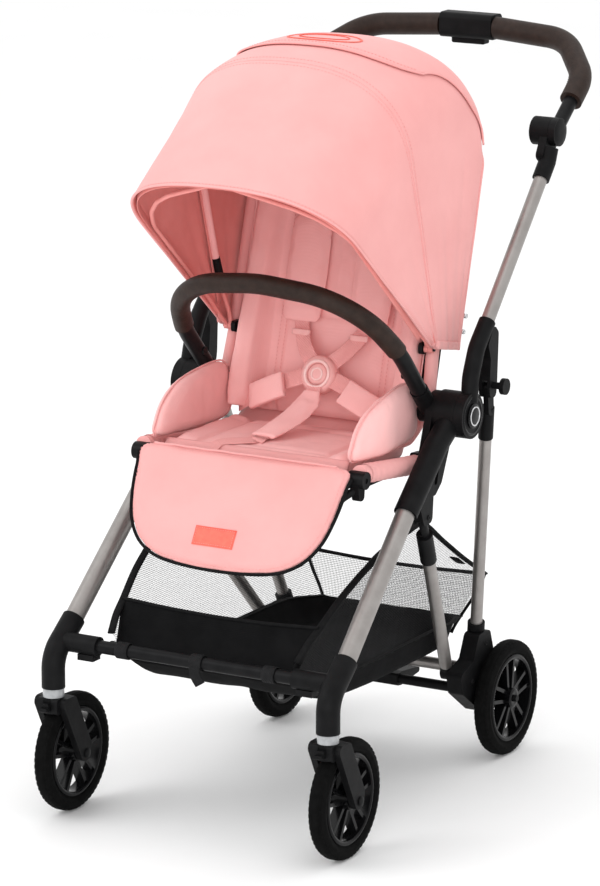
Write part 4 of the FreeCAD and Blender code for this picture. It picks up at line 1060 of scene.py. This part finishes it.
def build_basket():
    count = 70
    top = along_profile(BASKET_RIM, count)
    edge = along_profile(TRAY_EDGE, count)
    floor = along_profile(TRAY_FLOOR, count)
    for side, sign in SIDES:
        rows = []
        for i in range(17):
            f = i / 16
            row = []
            for (y0, z0), (y1, z1) in zip(edge, top):
                y, z = y0 + (y1 - y0) * f, z0 + (z1 - z0) * f
                inward = 5.0 * math.sin(math.pi * f) * (1 + 0.35 * math.sin(y * 0.021))
                inward += 1.2 * noise.noise(Vector((y * 0.02, z * 0.02, sign)))
                row.append(at(sign * (basket_half(y, z) - inward - 0.5), y, z))
            rows.append(row)
        wall = recalc(grid_piece(side + "_basket_mesh", rows, BLACK_MESH))
        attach(wall, "front_frame")
        rim = [at(sign * basket_half(y, z), y, z) for y, z in top]
        binding = sweep(side + "_basket_binding", rim, flat_section(4.0, 11), BLACK_BINDING,
                        facing=Vector((sign, 0, 0)))
        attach(binding, "front_frame")
        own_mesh(binding)
        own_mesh(wall)
    # tray: one skin from one side's edge down across the floor and up the other side
    rows = []
    across = 60
    for (ye, ze), (yf, zf) in zip(edge, floor):
        row = []
        for j in range(across + 1):
            a = -1 + 2 * j / across
            side = abs(a)
            up = smoothstep((side - 0.80) / 0.20)
            y = yf + (ye - yf) * up
            z = zf + (ze - zf) * up + 3.0 * noise.noise(Vector((a * 2.5, y * 0.008, 3))) * (1 - up)
            half = basket_half(y, z)
            x = a / 0.86 * (half - 3) if side < 0.86 else math.copysign(half - 3 * (1 - side) / 0.14, a)
            row.append(at(x, y, z))
        rows.append(row)
    tray = recalc(grid_piece("basket_tray", rows, BLACK_CLOTH))
    thicken(tray, 0.0024, 0)
    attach(tray, "front_frame")
    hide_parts("basket")
    for side, sign in SIDES:
        seam = [at(sign * (basket_half(y, z) + 0.6), y, z) for y, z in edge]
        tape = sweep(side + "_tray_binding", seam, flat_section(2.6, 9), BLACK_BINDING,
                     facing=Vector((sign, 0, 0)))
        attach(tape, "front_frame")
        cord = sweep(side + "_basket_post",
                     [at(sign * (basket_half(y, z) + 1.4), y, z) for y, z in
                      along_profile([(530, 180), (546, 205), (557, 270)], 20)],
                     round_section(2.4, 10), BLACK_BINDING)
        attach(cord, "front_frame")
        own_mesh(cord)
    # front panel from the cross tube leaning back to its bound upper edge
    front_rows = []
    for i in range(13):
        f = i / 12
        row = []
        for j in range(41):
            a = -1 + 2 * j / 40
            top_z = 309 + 5 * a * a
            top_y = 35 + 4 * abs(a)
            y, z = -6 + (top_y + 6) * f, 250 + (top_z - 250) * f
            y += 5 * math.sin(math.pi * f) * (1 - a * a) + 1.5 * noise.noise(Vector((a * 3, f * 2, 5)))
            row.append(at(a * (basket_half(y, z) - 0.5), y, z))
        front_rows.append(row)
    panel = recalc(grid_piece("basket_front_panel", front_rows, BLACK_CLOTH))
    thicken(panel, 0.002)
    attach(panel, "front_frame")
    lip = sweep("basket_front_binding", front_rows[-1], round_section(2.6, 10), BLACK_BINDING)
    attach(lip, "front_frame")
    # back panel of mesh between the two rear corners
    back_rows = []
    for i in range(9):
        f = i / 8
        row = []
        for j in range(37):
            a = -1 + 2 * j / 36
            y, z = 546 + 12 * f, 203 + 68 * f - 5 * (1 - a * a) * f
            y -= 3.5 * math.sin(math.pi * f) * (1 - a ** 4)
            row.append(at(a * basket_half(y, z), y, z))
        back_rows.append(row)
    back = recalc(grid_piece("basket_back_panel", back_rows, BACK_MESH))
    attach(back, "front_frame")
    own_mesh(back)
    rear = sweep("basket_rear_binding", back_rows[-1], round_section(2.8, 10), BLACK_BINDING)
    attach(rear, "front_frame")
    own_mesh(rear)
    # plain tag sewn on the near side
    tag = sweep("basket_tag", [at(172.5, 420, 330), at(170.5, 446, 315)], flat_section(2.0, 15),
                BLACK_BINDING, facing=Vector((1, 0, 0)))
    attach(tag, "front_frame")
    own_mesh(tag)
    # straps that hold the front panel to the cross tube
    for k, x in enumerate((-118, 4, 122)):
        wrap = [at(x, CROSS_TUBE[0] + 11.4 * math.cos(a), CROSS_TUBE[1] + 11.4 * math.sin(a))
                for a in (math.pi * (0.15 + 1.9 * n / 20) for n in range(21))]
        band = sweep("cross_tube_strap_%d" % k, wrap, flat_section(20, 1.6), WEBBING,
                     facing=lambda p: (p - at(p.x * 1000, *CROSS_TUBE)).normalized())
        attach(band, "front_frame")
    tail = strap("cross_tube_strap_tail",
                 [at(4, -37, 256), at(5, -38.5, 246), at(8, -36, 236), at(12, -34, 229)],
                 17, 1.4, WEBBING, Vector((0, -1, 0)))
    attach(tail, "front_frame")


build_basket()


# ---------------------------------------------------------------- hard details

SCREW = [(0.01, 0.8), (1.6, 0.8), (1.9, 1.6), (3.2, 1.5), (3.9, 0.9), (4.1, 0)]
AXLE_CAP = [(0.01, 1.6), (4.5, 1.4), (6.6, 0.6), (7.2, 0)]


def build_details():
    for side, sign in SIDES:
        out = (sign, 0, 0)
        # hub: domed cap with a thin bright ring and no mark
        disc(side + "_hub_dome", at(sign * 245.5, *HUB), out,
             [(0.01, 2.2), (8, 2.0), (14, 1.2), (17.6, 0)], GLOSS, "handle_frame")
        disc(side + "_hub_bright_ring", at(sign * 245.4, *HUB), out,
             [(12.2, 1.5), (12.4, 2.3), (13.4, 2.5), (14.3, 2.2), (14.5, 1.2), (12.2, 1.5)], STEEL,
             "handle_frame")
        disc(side + "_hub_groove_ring", at(sign * 243.0, *HUB), out,
             [(24.6, 0.05), (25.2, 0.8), (27, 0.9), (28.4, 0.6), (29, 0.05)], GLOSS, "handle_frame")
        # screws
        disc(side + "_adapter_screw", at(sign * 206, 306, 532), out, SCREW, STEEL, "front_frame", 24)
        for k, (y, z) in enumerate(((512, 178), (470, 128), (506, 100))):
            disc("%s_bracket_screw_%d" % (side, k), at(sign * 179, y, z), out, SCREW, PLASTIC,
                 "rear_frame", 24)
        # handlebar joint: outer dome and knurled inner button face
        disc(side + "_tilt_dome", at(sign * 242, *TILT_JOINT), out,
             [(0.01, 2.8), (9, 2.6), (15, 1.8), (19, 0.3), (20, 0)], PLASTIC, "handlebar")
        disc(side + "_tilt_button_face", at(sign * 197.5, *TILT_JOINT), (-sign, 0, 0),
             [(0.01, 1.0), (5, 0.9), (8.5, 0.3), (9.5, 1.0), (12, 0.8), (12.8, 0)], PLASTIC,
             side + "_tilt_button")
        # wheels: cap and inner rim line on each face
        for end, x, y in (("front", FRONT_WHEEL_X, 0), ("rear", 195, 549)):
            body = "%s_%s_wheel" % (side, end)
            for face in (1, -1):
                tag = "outer" if face * sign > 0 else "inner"
                disc("%s_%s_%s_hub_cap" % (side, end, tag),
                     at(sign * x + face * 13, y, AXLE_HEIGHT), (face, 0, 0),
                     [(5.3, 0.6), (9, 1.4), (12.5, 1.2), (14.6, 0)], GLOSS, body, 48)
                disc("%s_%s_%s_rim_step" % (side, end, tag),
                     at(sign * x + face * 10, y, AXLE_HEIGHT), (face, 0, 0),
                     [(59.4, 0), (60, 1.1), (62.5, 1.5), (65.3, 1.0), (65.8, 0)], GLOSS, body, 96)
            # tread: shallow blocks round the tyre
            build_tread("%s_%s_tread" % (side, end), sign * x, y, body)
        # axle ends
        for end, face in (("a", 1), ("b", -1)):
            disc("%s_front_axle_end_%s" % (side, end), at(sign * FRONT_WHEEL_X + face * 27, 0, AXLE_HEIGHT),
                 (face, 0, 0), AXLE_CAP, PLASTIC, side + "_caster", 32)
        # cap on the link's pivot
        disc(side + "_link_pivot_cap", at(sign * 220.5, 251, 434), out, SCREW, PLASTIC, "front_frame", 24)
    # handlebar: seam stitches along the underside of each leather run
    slope = math.radians(34.4)

    def grip(x, s):
        return at(x, TILT_JOINT[0] + s * math.cos(slope), TILT_JOINT[1] + s * math.sin(slope))

    for side, sign in SIDES:
        run = ((52, 197), (110, 191), (150, 180), (184, 158), (204, 125), (213, 82))
        seam = smooth_line([grip(sign * x, s) for x, s in run], 0.004)
        stitches(side + "_grip_stitches", seam, LEATHER_THREAD, "handlebar", length=3.0, gap=1.8, radius=0.5,
                 facing=Vector((0, -math.cos(slope), -math.sin(slope))))


def build_tread(name, x, y, body):
    points, faces = [], []
    blocks = 56
    for k in range(blocks):
        for lane in (-1, 1):
            a0 = 2 * math.pi * (k + (0.25 if lane > 0 else 0.0)) / blocks
            a1 = a0 + 2 * math.pi * 0.62 / blocks
            x0, x1 = sorted((x + lane * 3.0, x + lane * 9.6))
            base = len(points)
            for a in (a0, a1):
                for px in (x0, x1):
                    for r in (84.2, 86.7 if abs(px - x) < 5 else 85.0):
                        points.append(at(px, y + r * math.cos(a), AXLE_HEIGHT + r * math.sin(a)))
            faces += [tuple(base + i for i in f) for f in
                      ((0, 1, 3, 2), (4, 6, 7, 5), (0, 4, 5, 1), (2, 3, 7, 6), (1, 5, 7, 3), (0, 2, 6, 4))]
    piece = recalc(mesh_piece(name, points, faces, RUBBER, smooth=False))
    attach(piece, body)


build_details()


# ---------------------------------------------------------------- sleeves on the seat tubes

def build_sleeves():
    """Cloth sleeves that wrap the seat's side tubes, with small gathers."""
    for side, sign in SIDES:
        rows = []
        for i in range(46):
            f = i / 45
            y, z = 140 + (292 - 140) * f, 517.3 + (498.2 - 517.3) * f
            gather = 0.5 * math.sin(f * 60) * (0.3 + smoothstep(abs(f - 0.5) * 2))
            row = []
            for k, a in enumerate(turns(28)):
                radius = 13.9 + gather
                wide = radius + 0.5 * noise.noise(Vector((f * 9, k, sign)))
                row.append(at(sign * 178 + wide * math.cos(a), y, z + radius * math.sin(a)))
            rows.append(row)
        sleeve = recalc(grid_piece(side + "_seat_tube_sleeve", rows, PINK, wrap=True))
        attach(sleeve, "front_frame")


build_sleeves()


# ---------------------------------------------------------------- stage, light and camera

def build_stage():
    half, steps, below = 30.0, 24, -0.0006
    marks = [half * (2 * i / steps - 1) for i in range(steps + 1)]
    rows = [[Vector((x, y, below)) for x in marks] for y in marks]
    floor = recalc(grid_piece("studio_floor", rows, PALE))
    world = bpy.data.worlds.new("studio")
    world.use_nodes = True
    world.node_tree.nodes["Background"].inputs["Color"].default_value = (1, 1, 1, 1)
    world.node_tree.nodes["Background"].inputs["Strength"].default_value = 1.06
    bpy.context.scene.world = world

    def lamp(name, place, aim, size, power):
        data = bpy.data.lights.new(name, "AREA")
        data.energy = power
        data.shape = "RECTANGLE"
        data.size, data.size_y = size
        light = bpy.data.objects.new(name, data)
        light.location = place
        light.rotation_euler = (Vector(aim) - Vector(place)).to_track_quat("-Z", "Y").to_euler()
        bpy.context.scene.collection.objects.link(light)

    lamp("key_softbox", (-2.4, -2.6, 3.0), (0, 0, 0.6), (2.2, 2.2), 38)
    lamp("front_softbox", (1.6, -3.4, 1.2), (0, 0, 0.7), (2.4, 2.0), 26)
    lamp("top_softbox", (0.2, 0.6, 3.4), (0, 0, 0.4), (2.6, 2.6), 18)


def build_camera():
    azimuth, elevation = math.radians(29.823), math.radians(13.466)
    distance = 6.5
    target = at(-13.76, 292.13, 506.78)
    back = Vector((math.sin(azimuth) * math.cos(elevation), -math.cos(azimuth) * math.cos(elevation),
                   math.sin(elevation)))
    data = bpy.data.cameras.new("camera")
    data.lens = 181.94
    data.sensor_width = 36
    data.clip_end = 60
    camera = bpy.data.objects.new("camera", data)
    camera.location = target + back * distance
    camera.rotation_euler = (-back).to_track_quat("-Z", "Y").to_euler()
    bpy.context.scene.collection.objects.link(camera)
    bpy.context.scene.camera = camera


build_stage()
build_camera()
bpy.context.scene.view_settings.view_transform = "Standard"
